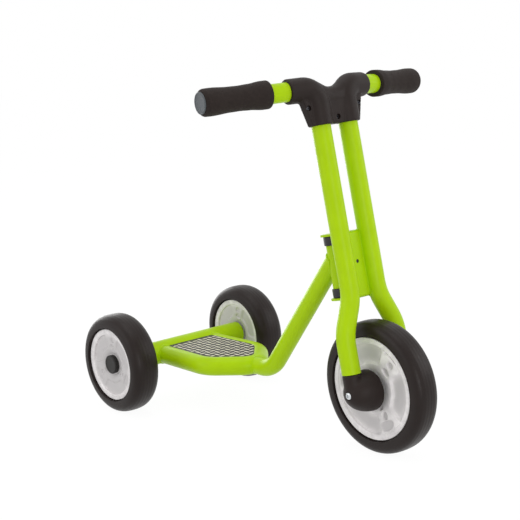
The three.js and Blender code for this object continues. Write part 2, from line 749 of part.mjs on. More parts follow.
// The fork ends: tongues, covers, and the axle with its spacers and screws
function makeForkEnds(steering) {
  const axleHalf = forkLegOffset - dropoutThickness / 2 - fit;
  let axle = solid(rod(axleRadius, -axleHalf, axleHalf));
  const screwLength = axleScrewSeat - axleHalf + axleScrewGrip;
  for (const [side, name] of [[1, 'left'], [-1, 'right']]) {
    const turn = side > 0 ? 0 : Math.PI;
    const shank = rod(axleScrewRadius + fit, axleScrewSeat - screwLength - fit, axleScrewSeat + overrun);
    const shankSpace = solid(shank.rotateX(turn));
    axle = axle.subtract(shankSpace);
    const dropout = solid(dropoutBlank(side, 0)).subtract(shankSpace);
    steering.add(piece(`fork_dropout_${name}`, dropout, darkSteel));
    const spacer = sleeve(axleRadius + fit, spacerRadius, frontHubHalfLength + fit, axleHalf);
    steering.add(piece(`front_axle_spacer_${name}`, solid(spacer.rotateX(turn)), zincSteel));
    const socket = rod(forkTubeRadius + fit, -axleRadius, forkLegEnd - fit, tubeSides).rotateX(Math.PI / 2);
    const headSpace = rod(axleScrewHeadRadius + fit, axleScrewSeat, axleScrewSeat + endCoverDepth);
    const hollow = rod(spacerRadius + fit, 0, axleHalf + fit);
    const trimmed = solid(endCoverBlank().rotateX(turn))
      .add(solid(socket.translate(0, side * forkLegOffset, 0)))
      .subtract(solid(dropoutBlank(side, fit)))
      .subtract(shankSpace)
      .subtract(solid(hollow.rotateX(turn)))
      .subtract(solid(headSpace.rotateX(turn)));
    steering.add(piece(`fork_end_cover_${name}`, trimmed, darkPlastic));
    const screw = buttonScrew(axleScrewRadius, screwLength, axleScrewHeadRadius, axleScrewHeadHeight);
    const placed = geometryOf(screw).translate(0, axleScrewSeat + fit, 0).rotateX(turn);
    steering.add(piece(`front_axle_screw_${name}`, solid(placed), zincSteel));
  }
  steering.add(piece('front_axle', axle, zincSteel));
}

// The sizes that tell the front wheel from the rear ones
const frontWheel = {
  radius: frontWheelRadius,
  tyreWidth: frontTyreWidth,
  rimRadius: frontWheelRadius - frontTyreHeight,
  lipInset: frontLipInset,
  hubHalf: frontHubHalfLength,
};
const rearWheel = {
  radius: rearWheelRadius,
  tyreWidth: rearTyreWidth,
  rimRadius: rearWheelRadius - rearTyreHeight,
  lipInset: rearLipInset,
  hubHalf: rearHubHalfLength,
};

// The tyre: a crowned superellipse over a bead that sits between the rim's lips
function tyre({ radius, tyreWidth, rimRadius, lipInset }) {
  const half = tyreWidth / 2;
  const beadRadius = rimRadius - lipHeight + fit;
  const beadHalf = half - lipInset - lipWidth - fit;
  const lipSpace = rimRadius + fit;
  const base = rimRadius + lipHeight / 2;
  const profile = [
    [beadRadius, beadHalf],
    [beadRadius, -beadHalf],
    [lipSpace, -beadHalf],
    [lipSpace, lipInset - half],
  ];
  const steps = 8;
  for (let i = 0; i <= steps; i += 1) {
    const angle = -Math.PI / 2 + (Math.PI * i) / steps;
    const across = Math.sign(Math.sin(angle)) * Math.abs(Math.sin(angle)) ** (2 / tyreRoundness);
    const outwards = Math.max(0, Math.cos(angle)) ** (2 / tyreRoundness);
    profile.push([base + (radius - base) * outwards, half * across]);
  }
  profile.push([lipSpace, half - lipInset], [lipSpace, beadHalf]);
  return solid(turned(profile, wheelSegments));
}

// One moulded rim half: hub, dished face with pockets, lip and barrel, up to the wheel's middle
function rimHalf({ tyreWidth, rimRadius, lipInset, hubHalf }) {
  const face = tyreWidth / 2 - lipInset;
  const barrel = rimRadius - lipHeight;
  const faceEdge = rimRadius - lipFaceWidth;
  const dishEdge = faceEdge - lipStep;
  const rise = face - lipStep;
  const bore = bearingRadius + fit;
  const shoulder = bearingRadius - rimWall / 2;
  const profile = [
    [shoulder, fit / 2],
    [hubRadius, fit / 2],
    [hubRadius, hubHalf - rimWall],
    [barrel - rimWall, rise - rimWall],
    [barrel - rimWall, fit / 2],
    [barrel, fit / 2],
    [barrel, face - lipWidth],
    [rimRadius, face - lipWidth],
    [rimRadius, face],
    [faceEdge, face],
    [dishEdge, rise],
    [hubRadius, hubHalf],
    [bore, hubHalf],
    [bore, hubHalf - bearingWidth],
    [shoulder, hubHalf - bearingWidth],
  ];
  let rim = solid(turned(profile, wheelSegments));
  const slope = (rise - hubHalf) / (dishEdge - hubRadius);
  const floorAt = (radius) => rise - slope * (dishEdge - radius) - pocketDepth;
  const near = hubRadius + pocketFloorShare * (dishEdge - hubRadius);
  const far = dishEdge - rimWall;
  const floor = turned([
    [near - overrun, floorAt(near - overrun)],
    [far + overrun, floorAt(far + overrun)],
    [far + overrun, face + overrun],
    [near - overrun, face + overrun],
  ], wheelSegments);
  const floorSpace = solid(floor);
  for (let i = 0; i < pocketCount; i += 1) {
    const angle = (2 * Math.PI * i) / pocketCount;
    const pocket = slab(pocketOutline(near, far, angle), 0, face + overrun);
    rim = rim.subtract(floorSpace.intersect(solid(pocket.rotateX(-Math.PI / 2))));
  }
  return rim;
}

// The kidney outline of one pocket, on the outer part of the rim's face
function pocketOutline(near, far, angle) {
  const half = Math.PI / pocketCount - pocketSpokeAngle;
  const steps = 4;
  const outer = arcPoints(0, 0, far, angle - half, angle + half, steps);
  const inner = arcPoints(0, 0, near, angle + half, angle - half, steps);
  return [...outer, ...inner];
}

// One wheel: tyre, two rim halves and two bearings, about its own middle
function makeWheel(name, sizes, place) {
  const wheel = new THREE.Group();
  wheel.position.copy(place);
  wheel.add(piece(`${name}_tyre`, tyre(sizes), tyreRubber));
  const hub = sizes.hubHalf;
  const bearing = sleeve(boreRound(axleRadius), bearingRadius, hub - bearingWidth + fit, hub);
  for (const [half, turn] of [['left', 0], ['right', Math.PI]]) {
    const rim = solid(geometryOf(rimHalf(sizes)).rotateX(turn));
    wheel.add(piece(`${name}_rim_${half}`, rim, whitePlastic));
    const ring = solid(bearing.clone().rotateX(turn));
    wheel.add(piece(`${name}_bearing_${half}`, ring, darkSteel));
  }
  return wheel;
}

// The cap over each rear lock nut, which turns with its wheel
function makeHubCap(side, name) {
  const seat = rearTrack / 2 + rearHubHalfLength + fit;
  const top = seat + lockNutHeight + hubCapRoom + hubCapWall;
  const inner = hubCapRadius - hubCapWall;
  const cap = turned([
    [0, top - hubCapWall],
    [inner, top - hubCapWall],
    [inner, seat],
    [hubCapRadius, seat],
    [hubCapRadius, top - hubCapRounding],
    [hubCapRadius - hubCapRounding, top],
    [0, top],
  ]);
  return piece(`rear_hub_cap_${name}`, solid(cap.rotateX(side > 0 ? 0 : Math.PI)), capPlastic);
}

// The whole scooter
function makeScooter() {
  const scooter = new THREE.Group();
  makeRearAxle(scooter);
  makeDeck(scooter);
  makeDownTube(scooter);
  const steering = new THREE.Group();
  steering.position.set(frontAxleX, 0, frontWheelRadius);
  steering.rotation.y = -rake;
  scooter.add(steering);
  makeHead(steering);
  for (const [side, name] of [[1, 'left'], [-1, 'right']]) {
    steering.add(piece(`fork_tube_${name}`, roundBar(forkPath(side), forkTubeRadius, forkBore), greenPaint));
  }
  makeBracket(steering);
  makePivot(steering);
  makeCover(steering);
  makeGrips(steering);
  makeForkEnds(steering);
  scooter.add(makeWheel('front', frontWheel, new THREE.Vector3(frontAxleX, 0, frontWheelRadius)));
  for (const [side, name] of [[1, 'left'], [-1, 'right']]) {
    const place = new THREE.Vector3(rearAxleX, (side * rearTrack) / 2, rearWheelRadius);
    scooter.add(makeWheel(`rear_${name}`, rearWheel, place));
    const cap = makeHubCap(side, name);
    cap.position.set(rearAxleX, 0, rearWheelRadius);
    scooter.add(cap);
  }
  return scooter;
}

export default makeScooter();
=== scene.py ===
"""Dresses a three wheel kids scooter: fine surfaces, finishes, light and camera round its frame.

Lengths are in metres and angles in degrees, in the frame's axes: X forward, Y to the rider's left
and Z up. The steering's pieces are drawn in their own axes, which start at the front axle with Z
up the raked fork, and are then laid into the frame's.
"""

import json
import logging
import math
from collections.abc import Callable, Sequence
from dataclasses import dataclass, replace
from enum import Enum

import bmesh
import bpy
from mathutils import Matrix, Vector


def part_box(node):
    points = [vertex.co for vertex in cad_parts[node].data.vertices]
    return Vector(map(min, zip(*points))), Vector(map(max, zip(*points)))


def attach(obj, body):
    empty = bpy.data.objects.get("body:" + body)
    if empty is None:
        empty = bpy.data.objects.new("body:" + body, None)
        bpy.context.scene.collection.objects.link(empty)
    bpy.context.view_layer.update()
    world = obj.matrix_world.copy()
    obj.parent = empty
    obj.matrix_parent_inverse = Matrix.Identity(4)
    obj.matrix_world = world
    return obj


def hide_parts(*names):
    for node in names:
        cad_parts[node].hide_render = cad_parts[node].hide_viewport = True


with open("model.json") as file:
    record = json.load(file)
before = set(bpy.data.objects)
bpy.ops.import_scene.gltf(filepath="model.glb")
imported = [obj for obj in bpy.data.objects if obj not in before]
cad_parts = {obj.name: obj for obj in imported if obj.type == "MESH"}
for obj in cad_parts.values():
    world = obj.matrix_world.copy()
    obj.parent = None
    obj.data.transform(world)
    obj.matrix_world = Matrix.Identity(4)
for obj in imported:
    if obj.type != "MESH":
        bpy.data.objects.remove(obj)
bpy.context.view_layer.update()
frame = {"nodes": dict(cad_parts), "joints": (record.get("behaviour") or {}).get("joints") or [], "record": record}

log = logging.getLogger("scooter")

BMesh = bmesh.types.BMesh
Tree = bpy.types.NodeTree
Socket = bpy.types.NodeSocket
Profile = Sequence[tuple[float, float]]
Triple = tuple[float, float, float]
Colour = tuple[float, float, float, float]
Span = tuple[float, float]

MM = 0.001
MERGE = 0.004 * MM
GAP = 0.3 * MM
CREASE = math.radians(32)
HALVINGS = 24
BEND_STEP = 3.0
BEVEL_STEPS = 3
SOFTEN_SHARE = 0.5
ROUND_SIDES = 64
SMALL_SIDES = 40
WHEEL_SIDES = 180
RIM_SIDES = 300
FULL_TURN = 2 * math.pi
# The attribute that carries the shade painted into a rim's hollows.
SHADE_LAYER = "hollow"

# How fast the wave texture runs at a scale of one, in radians a metre.
WAVE_RATE = 20.0

# The curve from a screen's colours, 0 to 255, to the renderer's linear ones.
SCREEN_TOP = 255
SCREEN_KNEE = 0.04045
SCREEN_SLOPE = 12.92
SCREEN_OFFSET = 0.055
SCREEN_POWER = 2.4

ORIGIN = Vector((0, 0, 0)).freeze()
AHEAD = Vector((1, 0, 0)).freeze()
BACKWARD = Vector((-1, 0, 0)).freeze()
LEFTWARD = Vector((0, 1, 0)).freeze()
UP = Vector((0, 0, 1)).freeze()
DOWN = Vector((0, 0, -1)).freeze()
LEVEL = Matrix.Identity(4).freeze()


class Cut(Enum):
    """What a boolean modifier does with its tool."""

    JOIN = "UNION"
    TAKE = "DIFFERENCE"
    KEEP = "INTERSECT"


class Side(Enum):
    """The rider's left and right, and the sign of Y there."""

    LEFT = 1
    RIGHT = -1

    @property
    def word(self) -> str:
        """The side's name as the nodes write it."""
        return self.name.lower()

    @property
    def way(self) -> Vector:
        """The heading out to that side."""
        return Vector((0, self.value, 0))


def facing(point: Vector, direction: Vector) -> Matrix:
    """Places a turned shape.

    Args:
        point: Where the shape's own origin goes.
        direction: Where its own Z axis points.

    Returns:
        The matrix that lays the shape there.
    """
    turn = direction.to_track_quat("Z", "Y").to_matrix().to_4x4()
    return Matrix.Translation(point) @ turn


def arc(centre: tuple[float, float], radius: float, start: float, end: float, steps: int) -> Profile:
    """Draws an arc in a plane.

    Args:
        centre: The arc's centre.
        radius: The arc's radius.
        start: The angle of its first point, in degrees.
        end: The angle of its last point, in degrees.
        steps: How many parts it has.

    Returns:
        Its points, both ends included.
    """
    angles = [math.radians(start + (end - start) * k / steps) for k in range(steps + 1)]
    return [(centre[0] + radius * math.cos(a), centre[1] + radius * math.sin(a)) for a in angles]


def rounded(corners: Sequence[Triple], steps: int = 5, closed: bool = True) -> Profile:
    """Rounds the corners of an outline.

    Args:
        corners: Two coordinates and a rounding radius each, zero for a sharp corner.
        steps: How many parts each rounding has.
        closed: Whether the last corner joins the first.

    Returns:
        The outline's points.
    """
    points: list[tuple[float, float]] = []
    count = len(corners)
    for k, (x, y, radius) in enumerate(corners):
        here = Vector((x, y))
        if radius <= 0 or (not closed and k in (0, count - 1)):
            points.append((x, y))
            continue
        before = Vector(corners[k - 1][:2]) - here
        after = Vector(corners[(k + 1) % count][:2]) - here
        spread = before.angle(after)
        reach = radius / math.tan(spread / 2)
        middle = (before.normalized() + after.normalized()).normalized()
        centre = here + middle * (radius / math.sin(spread / 2))
        first = here + before.normalized() * reach - centre
        last = here + after.normalized() * reach - centre
        turn = first.angle_signed(last)
        for i in range(steps + 1):
            spot = centre + Matrix.Rotation(-turn * i / steps, 2) @ first
            points.append((spot.x, spot.y))
    return points


def smooth_step(value: float) -> float:
    """Eases a share from 0 to 1."""
    share = min(1.0, max(0.0, value))
    return share * share * (3 - 2 * share)


@dataclass
class Route:
    """A centre line: the places it runs through and its heading at each."""

    points: list[Vector]
    headings: list[Vector]

    @classmethod
    def bent(cls, corners: Sequence[Vector], radii: Sequence[float]) -> "Route":
        """Runs straight between corners and rounds each inner one.

        Args:
            corners: The ends and the corners between them.
            radii: The bend radius of each inner corner.

        Returns:
            The route, with a station every few degrees of bend.
        """
        ways = [(b - a).normalized() for a, b in zip(corners, corners[1:])]
        points, headings = [corners[0].copy()], [ways[0]]
        for corner, radius, before, after in zip(corners[1:], radii, ways, ways[1:]):
            turn = before.angle(after)
            start = corner - before * (radius * math.tan(turn / 2))
            inward = (after - before * after.dot(before)).normalized()
            steps = math.ceil(math.degrees(turn) / BEND_STEP)
            for k in range(steps + 1):
                angle = turn * k / steps
                along, aside = radius * math.sin(angle), radius * (1 - math.cos(angle))
                points.append(start + before * along + inward * aside)
                headings.append(before * math.cos(angle) + inward * math.sin(angle))
        return cls([*points, corners[-1].copy()], [*headings, ways[-1]])

    @classmethod
    def through(cls, points: Sequence[Vector]) -> "Route":
        """Runs through points.

        Args:
            points: The places that the line runs through.

        Returns:
            The route, with each heading drawn from its neighbours.
        """
        last = len(points) - 1
        headings = [
            (points[min(k + 1, last)] - points[max(k - 1, 0)]).normalized() for k in range(last + 1)
        ]
        return cls([p.copy() for p in points], headings)

    def frames(self) -> list[Matrix]:
        """Lays a section's plane at each station, without twist along the way.

        Returns:
            The plane's matrix at each station.
        """
        side = self.headings[0].orthogonal().normalized()
        made = []
        for k, (point, heading) in enumerate(zip(self.points, self.headings)):
            if k:
                side = self.headings[k - 1].rotation_difference(heading) @ side
            side = (side - heading * side.dot(heading)).normalized()
            turn = Matrix((side, heading.cross(side), heading)).transposed().to_4x4()
            made.append(Matrix.Translation(point) @ turn)
        return made

    def distance(self, spot: Vector) -> float:
        """Measures how far a point is from the line.

        Args:
            spot: The point.

        Returns:
            The least distance.
        """
        best = math.inf
        for a, b in zip(self.points, self.points[1:]):
            way = b - a
            share = min(1.0, max(0.0, (spot - a).dot(way) / way.length_squared))
            best = min(best, (spot - a - way * share).length)
        return best


def sweep(
    bm: BMesh, route: Route, radius: float, sides: int = ROUND_SIDES,
    swell: Callable[[int], float] | None = None,
) -> tuple[list, list]:
    """Draws a round skin along a route.

    Args:
        bm: The mesh that gets the skin.
        route: The skin's centre line.
        radius: The skin's radius.
        sides: How many sides it has.
        swell: The share of the radius at each station, or None for a plain tube.

    Returns:
        The edges of its first ring and of its last.
    """
    frames = route.frames()
    sizes = [swell(k) if swell else 1.0 for k in range(len(frames))]
    laid = [m @ Matrix.Scale(s, 4) for m, s in zip(frames, sizes)]
    ring = bmesh.ops.create_circle(bm, cap_ends=False, segments=sides, radius=radius, matrix=laid[0])
    edges = list({e for v in ring["verts"] for e in v.link_edges})
    first = edges
    for before, after in zip(laid, laid[1:]):
        made = bmesh.ops.extrude_edge_only(bm, edges=edges)["geom"]
        verts = [g for g in made if isinstance(g, bmesh.types.BMVert)]
        edges = [g for g in made if isinstance(g, bmesh.types.BMEdge) and g.is_boundary]
        bmesh.ops.transform(bm, matrix=after @ before.inverted(), verts=verts)
    return first, edges


def pipe(route: Route, radius: float, wall: float) -> BMesh:
    """Makes a tube with its bore, open at both ends.

    Args:
        route: The tube's centre line.
        radius: The tube's outer radius.
        wall: The tube's wall.

    Returns:
        The closed mesh.
    """
    bm = bmesh.new()
    outer = sweep(bm, route, radius)
    inner = sweep(bm, route, radius - wall)
    for skin, core in zip(outer, inner):
        bmesh.ops.bridge_loops(bm, edges=[*skin, *core])
    return bm


def bar(
    route: Route, radius: float, sides: int = ROUND_SIDES, swell: Callable[[int], float] | None = None
) -> BMesh:
    """Makes a solid round bar along a route.

    Args:
        route: The bar's centre line.
        radius: The bar's radius.
        sides: How many sides it has.
        swell: The share of the radius at each station, or None for a plain bar.

    Returns:
        The closed mesh.
    """
    bm = bmesh.new()
    for ring in sweep(bm, route, radius, sides, swell):
        bmesh.ops.contextual_create(bm, geom=ring)
    return bm


def turned(profile: Profile, place: Matrix, sides: int = SMALL_SIDES) -> BMesh:
    """Turns a profile about its own Z axis.

    Args:
        profile: Radius and height of each point. It closes on itself, or both its ends are on the axis.
        place: Where the turned shape goes.
        sides: How many sides it has.

    Returns:
        The closed mesh.
    """
    bm = bmesh.new()
    verts = [bm.verts.new((radius, 0, height)) for radius, height in profile]
    pairs = list(zip(verts, verts[1:]))
    if profile[0][0] > 0:
        pairs.append((verts[-1], verts[0]))
    edges = [bm.edges.new(pair) for pair in pairs]
    bmesh.ops.spin(
        bm, geom=[*verts, *edges], cent=ORIGIN, axis=UP, dvec=ORIGIN,
        angle=FULL_TURN, space=LEVEL, steps=sides, use_merge=True, use_duplicate=False,
    )
    bmesh.ops.remove_doubles(bm, verts=bm.verts, dist=MERGE)
    bmesh.ops.transform(bm, matrix=place, verts=bm.verts)
    return bm


def cylinder(radius: float, low: float, high: float, place: Matrix, sides: int = SMALL_SIDES) -> BMesh:
    """Makes a plain cylinder between two heights of its own Z axis."""
    return turned([(0, low), (radius, low), (radius, high), (0, high)], place, sides)


def ring(bore: float, radius: float, ends: Span, bore_edge: float, edge: float) -> Profile:
    """Draws the section of a ring or a straight tube, with its edges rounded.

    Args:
        bore: The bore's radius.
        radius: The outer radius.
        ends: The heights of its two ends.
        bore_edge: How far the edges of the bore are rounded.
        edge: How far the outer edges are rounded.

    Returns:
        Radius and height of each point.
    """
    low, high = ends
    return rounded([
        (bore, low, bore_edge), (radius, low, edge), (radius, high, edge), (bore, high, bore_edge),
    ])


def slab(outline: Profile, low: float, high: float, place: Matrix = LEVEL, bevel: float = 0.0) -> BMesh:
    """Thickens a flat outline.

    Args:
        outline: The outline's points in its own X and Y.
        low: The height of its underside.
        high: The height of its top.
        place: Where the slab goes.
        bevel: How far the edges of its two faces are rounded.

    Returns:
        The closed mesh.
    """
    bm = bmesh.new()
    face = bm.faces.new([bm.verts.new((x, y, low)) for x, y in outline])
    made = bmesh.ops.extrude_face_region(bm, geom=[face], use_keep_orig=True)["geom"]
    top = [g for g in made if isinstance(g, bmesh.types.BMVert)]
    bmesh.ops.translate(bm, vec=(0, 0, high - low), verts=top)
    bmesh.ops.recalc_face_normals(bm, faces=bm.faces)
    if bevel > 0:
        rims = [e for e in bm.edges if abs(e.verts[0].co.z - e.verts[1].co.z) < MERGE]
        bmesh.ops.bevel(
            bm, geom=rims, offset=bevel, offset_type="OFFSET", segments=BEVEL_STEPS, profile=0.5,
            affect="EDGES", clamp_overlap=True, material=-1,
        )
    bmesh.ops.transform(bm, matrix=place, verts=bm.verts)
    return bm


def loose(bm: BMesh) -> bpy.types.Object:
    """Puts a mesh into an object of its own for a modifier to work on.

    Args:
        bm: The mesh, which is used up.

    Returns:
        The object.
    """
    bmesh.ops.recalc_face_normals(bm, faces=bm.faces)
    mesh = bpy.data.meshes.new("blank")
    bm.to_mesh(mesh)
    bm.free()
    made = bpy.data.objects.new("blank", mesh)
    bpy.context.scene.collection.objects.link(made)
    return made


def settled(blank: bpy.types.Object, tools: Sequence[bpy.types.Object] = ()) -> BMesh:
    """Applies an object's modifiers, and removes it and its tools.

    Args:
        blank: The object whose modifiers are ready.
        tools: The objects that its modifiers use.

    Returns:
        The mesh that its modifiers give.
    """
    graph = bpy.context.evaluated_depsgraph_get()
    mesh = bpy.data.meshes.new_from_object(blank.evaluated_get(graph))
    bm = bmesh.new()
    bm.from_mesh(mesh)
    bpy.data.meshes.remove(mesh)
    for used in (blank, *tools):
        data = used.data
        bpy.data.objects.remove(used)
        bpy.data.meshes.remove(data)
    return bm


def cut(blank: BMesh, tools: Sequence[BMesh], kind: Cut) -> BMesh:
    """Joins closed meshes to a blank, takes them from it, or keeps what they share.

    Args:
        blank: The closed mesh to work on.
        tools: The closed meshes that it is joined to or cut by, one after another.
        kind: What is done.

    Returns:
        The new mesh.
    """
    body = loose(blank)
    objects = [loose(tool) for tool in tools]
    for tool in objects:
        step = body.modifiers.new("cut", "BOOLEAN")
        step.operation = kind.value
        step.solver = "EXACT"
        step.object = tool
    return settled(body, objects)


def melted(blank: BMesh, cell: float, rounds: int) -> BMesh:
    """Turns overlapping closed shapes into one skin with soft blends between them.

    Args:
        blank: The shapes, in one mesh.
        cell: The size of the new skin's faces.
        rounds: How many times the skin is smoothed.

    Returns:
        The new closed mesh.
    """
    body = loose(blank)
    remesh = body.modifiers.new("skin", "REMESH")
    remesh.mode = "VOXEL"
    remesh.voxel_size = cell
    soften = body.modifiers.new("soften", "SMOOTH")
    soften.factor = SOFTEN_SHARE
    soften.iterations = rounds
    return settled(body)


def gathered(parts: Sequence[BMesh]) -> BMesh:
    """Puts several meshes into one.

    Args:
        parts: The meshes, which are used up.

    Returns:
        The mesh that holds them all.
    """
    whole = bmesh.new()
    for part in parts:
        mesh = bpy.data.meshes.new("part")
        part.to_mesh(mesh)
        part.free()
        whole.from_mesh(mesh)
        bpy.data.meshes.remove(mesh)
    return whole


def linear(colour: tuple[int, int, int], factor: float = 1.0) -> Colour:
    """Turns a screen's colour into the renderer's own scale.

    Args:
        colour: Red, green and blue, from 0 to 255.
        factor: How much lighter or darker it gets.

    Returns:
        The linear colour, with its alpha.
    """
    made = []
    for part in colour:
        share = part / SCREEN_TOP
        if share <= SCREEN_KNEE:
            level = share / SCREEN_SLOPE
        else:
            level = ((share + SCREEN_OFFSET) / (1 + SCREEN_OFFSET)) ** SCREEN_POWER
        made.append(min(1.0, level * factor))
    return (*made, 1.0)


def mapped(tree: Tree, value: Socket, start: Span = (0.0, 1.0), end: Span = (0.0, 1.0)) -> Socket:
    """Maps one span of values to another.

    Args:
        tree: The node tree.
        value: The output that is mapped.
        start: The span that it comes from.
        end: The span that it goes to.

    Returns:
        The mapped output.
    """
    node = tree.nodes.new("ShaderNodeMapRange")
    for name, number in zip(("From Min", "From Max", "To Min", "To Max"), (*start, *end)):
        node.inputs[name].default_value = number
    tree.links.new(value, node.inputs["Value"])
    return node.outputs["Result"]


def blended(tree: Tree, share: Socket, colour: Socket, other: Colour) -> Socket:
    """Mixes a plain colour into another one.

    Args:
        tree: The node tree.
        share: How much of the plain colour shows.
        colour: The colour that it goes over.
        other: The plain colour.

    Returns:
        The mixed colour's output.
    """
    mix = tree.nodes.new("ShaderNodeMix")
    mix.data_type = "RGBA"
    mix.inputs["B"].default_value = other
    tree.links.new(share, mix.inputs["Factor"])
    tree.links.new(colour, mix.inputs["A"])
    return mix.outputs["Result"]


def noise(tree: Tree, where: Socket, cell: float, detail: float) -> Socket:
    """Adds a noise.

    Args:
        tree: The node tree.
        where: The place on the object.
        cell: The size of the noise's cells.
        detail: How many finer layers it has.

    Returns:
        The noise's output.
    """
    node = tree.nodes.new("ShaderNodeTexNoise")
    node.inputs["Scale"].default_value = 1 / cell
    node.inputs["Detail"].default_value = detail
    tree.links.new(where, node.inputs["Vector"])
    return node.outputs["Fac"]


@dataclass(frozen=True)
class Grain:
    """A fine unevenness of a surface: the size of its cells and how high they stand."""

    cell: float
    height: float
    detail: float = 2.0


@dataclass(frozen=True)
class Finish:
    """A surface: its colour, gloss and grain, and the record's slot that it belongs to.

    Colours are written as a screen shows them, from 0 to 255.
    """

    name: str
    slot: str
    colour: tuple[int, int, int]
    roughness: float
    metallic: float = 0.0
    specular: float = 0.5
    sheen: float = 0.0
    mottle: float = 0.06
    mottle_cell: float = 30 * MM
    mottle_detail: float = 3.0
    mottle_span: Span = (0.3, 0.7)
    uneven: float = 0.06
    uneven_cells: float = 3.0
    uneven_detail: float = 4.0
    least_roughness: float = 0.02
    grains: tuple[Grain, ...] = ()
    lines: Grain | None = None
    # A highlight painted along sharp edges: how strong it is, over which pointiness, and how much lighter.
    edge_highlight: float = 0.0
    edge_highlight_span: Span = (0.52, 0.62)
    edge_highlight_gain: float = 1.8
    # The colour factor of the shade painted into the hollows, 1 for none.
    hollow_shade: float = 1.0

    def material(self) -> bpy.types.Material:
        """Gives the material, made the first time it is asked for.

        Returns:
            The material.
        """
        made = bpy.data.materials.get(self.name)
        if made is None:
            made = bpy.data.materials.new(self.name)
            made.use_nodes = True
            self.dress(made.node_tree)
        return made

    def dress(self, tree: Tree) -> None:
        """Wires the material's nodes.

        Args:
            tree: The material's own node tree, with its shader in it.
        """
        shader = tree.nodes["Principled BSDF"]
        shader.inputs["Metallic"].default_value = self.metallic
        shader.inputs["Specular IOR Level"].default_value = self.specular
        shader.inputs["Sheen Weight"].default_value = self.sheen
        where = tree.nodes.new("ShaderNodeTexCoord").outputs["Object"]
        tree.links.new(self.tint(tree, where), shader.inputs["Base Color"])
        tree.links.new(self.gloss(tree, where), shader.inputs["Roughness"])
        normal = self.relief(tree, where)
        if normal is not None:
            tree.links.new(normal, shader.inputs["Normal"])

    def gloss(self, tree: Tree, where: Socket) -> Socket:
        """Varies the roughness a little over the surface.

        Args:
            tree: The node tree.
            where: The place on the object.

        Returns:
            The roughness's output.
        """
        patches = noise(tree, where, self.mottle_cell / self.uneven_cells, self.uneven_detail)
        least = max(self.least_roughness, self.roughness - self.uneven)
        return mapped(tree, patches, end=(least, min(1.0, self.roughness + self.uneven)))

    def relief(self, tree: Tree, where: Socket) -> Socket | None:
        """Raises the lines and the grains of the surface, one over another.

        Args:
            tree: The node tree.
            where: The place on the object.

        Returns:
            The last bump's normal, or None for a smooth surface.
        """
        layers = []
        if self.lines:
            wave = tree.nodes.new("ShaderNodeTexWave")
            wave.bands_direction = "Y"
            wave.inputs["Scale"].default_value = FULL_TURN / (WAVE_RATE * self.lines.cell)
            tree.links.new(where, wave.inputs["Vector"])
            layers.append((wave.outputs["Fac"], self.lines.height))
        layers += [(noise(tree, where, g.cell, g.detail), g.height) for g in self.grains]
        normal = None
        for height, distance in layers:
            bump = tree.nodes.new("ShaderNodeBump")
            bump.inputs["Strength"].default_value = 1.0
            bump.inputs["Distance"].default_value = distance
            tree.links.new(height, bump.inputs["Height"])
            if normal is not None:
                tree.links.new(normal, bump.inputs["Normal"])
            normal = bump.outputs["Normal"]
        return normal

    def tint(self, tree: Tree, where: Socket) -> Socket:
        """Varies the colour over the surface, paints shade into its hollows and a highlight along its sharp edges.

        Args:
            tree: The node tree.
            where: The place on the object.

        Returns:
            The colour's output.
        """
        ramp = tree.nodes.new("ShaderNodeValToRGB")
        for stop, place, factor in zip(ramp.color_ramp.elements, self.mottle_span, (-1, 1)):
            stop.position = place
            stop.color = linear(self.colour, 1 + factor * self.mottle)
        tree.links.new(noise(tree, where, self.mottle_cell, self.mottle_detail), ramp.inputs["Fac"])
        colour = ramp.outputs["Color"]
        # Shade painted into the hollows, as much as the mesh's attribute says.
        if self.hollow_shade < 1:
            depth = tree.nodes.new("ShaderNodeAttribute")
            depth.attribute_name = SHADE_LAYER
            colour = blended(tree, depth.outputs["Fac"], colour, linear(self.colour, self.hollow_shade))
        # A highlight painted along sharp edges, where the pointiness is high.
        if self.edge_highlight > 0:
            edge = tree.nodes.new("ShaderNodeNewGeometry").outputs["Pointiness"]
            share = mapped(tree, edge, self.edge_highlight_span, (0.0, self.edge_highlight))
            colour = blended(tree, share, colour, linear(self.colour, self.edge_highlight_gain))
        return colour


@dataclass(frozen=True)
class TreadFinish(Finish):
    """The deck sheet: a dark ground, and a highlight painted in a lighter colour on the tops of its raised bars.
    """

    # The colour of the highlight painted on the raised bars' tops.
    light: tuple[int, int, int] = (228, 226, 202)
    ground_height: float = 0.0
    bar_height: float = 1.0 * MM
    bar_span: Span = (0.25, 0.6)

    def tint(self, tree: Tree, where: Socket) -> Socket:
        """Colours the sheet by height, painting the highlight on the tops of the raised bars.

        Args:
            tree: The node tree.
            where: The place on the object.

        Returns:
            The colour's output.
        """
        split = tree.nodes.new("ShaderNodeSeparateXYZ")
        tree.links.new(where, split.inputs["Vector"])
        heights = tuple(self.ground_height + share * self.bar_height for share in self.bar_span)
        rise = mapped(tree, split.outputs["Z"], heights)
        return blended(tree, rise, super().tint(tree, where), linear(self.light))


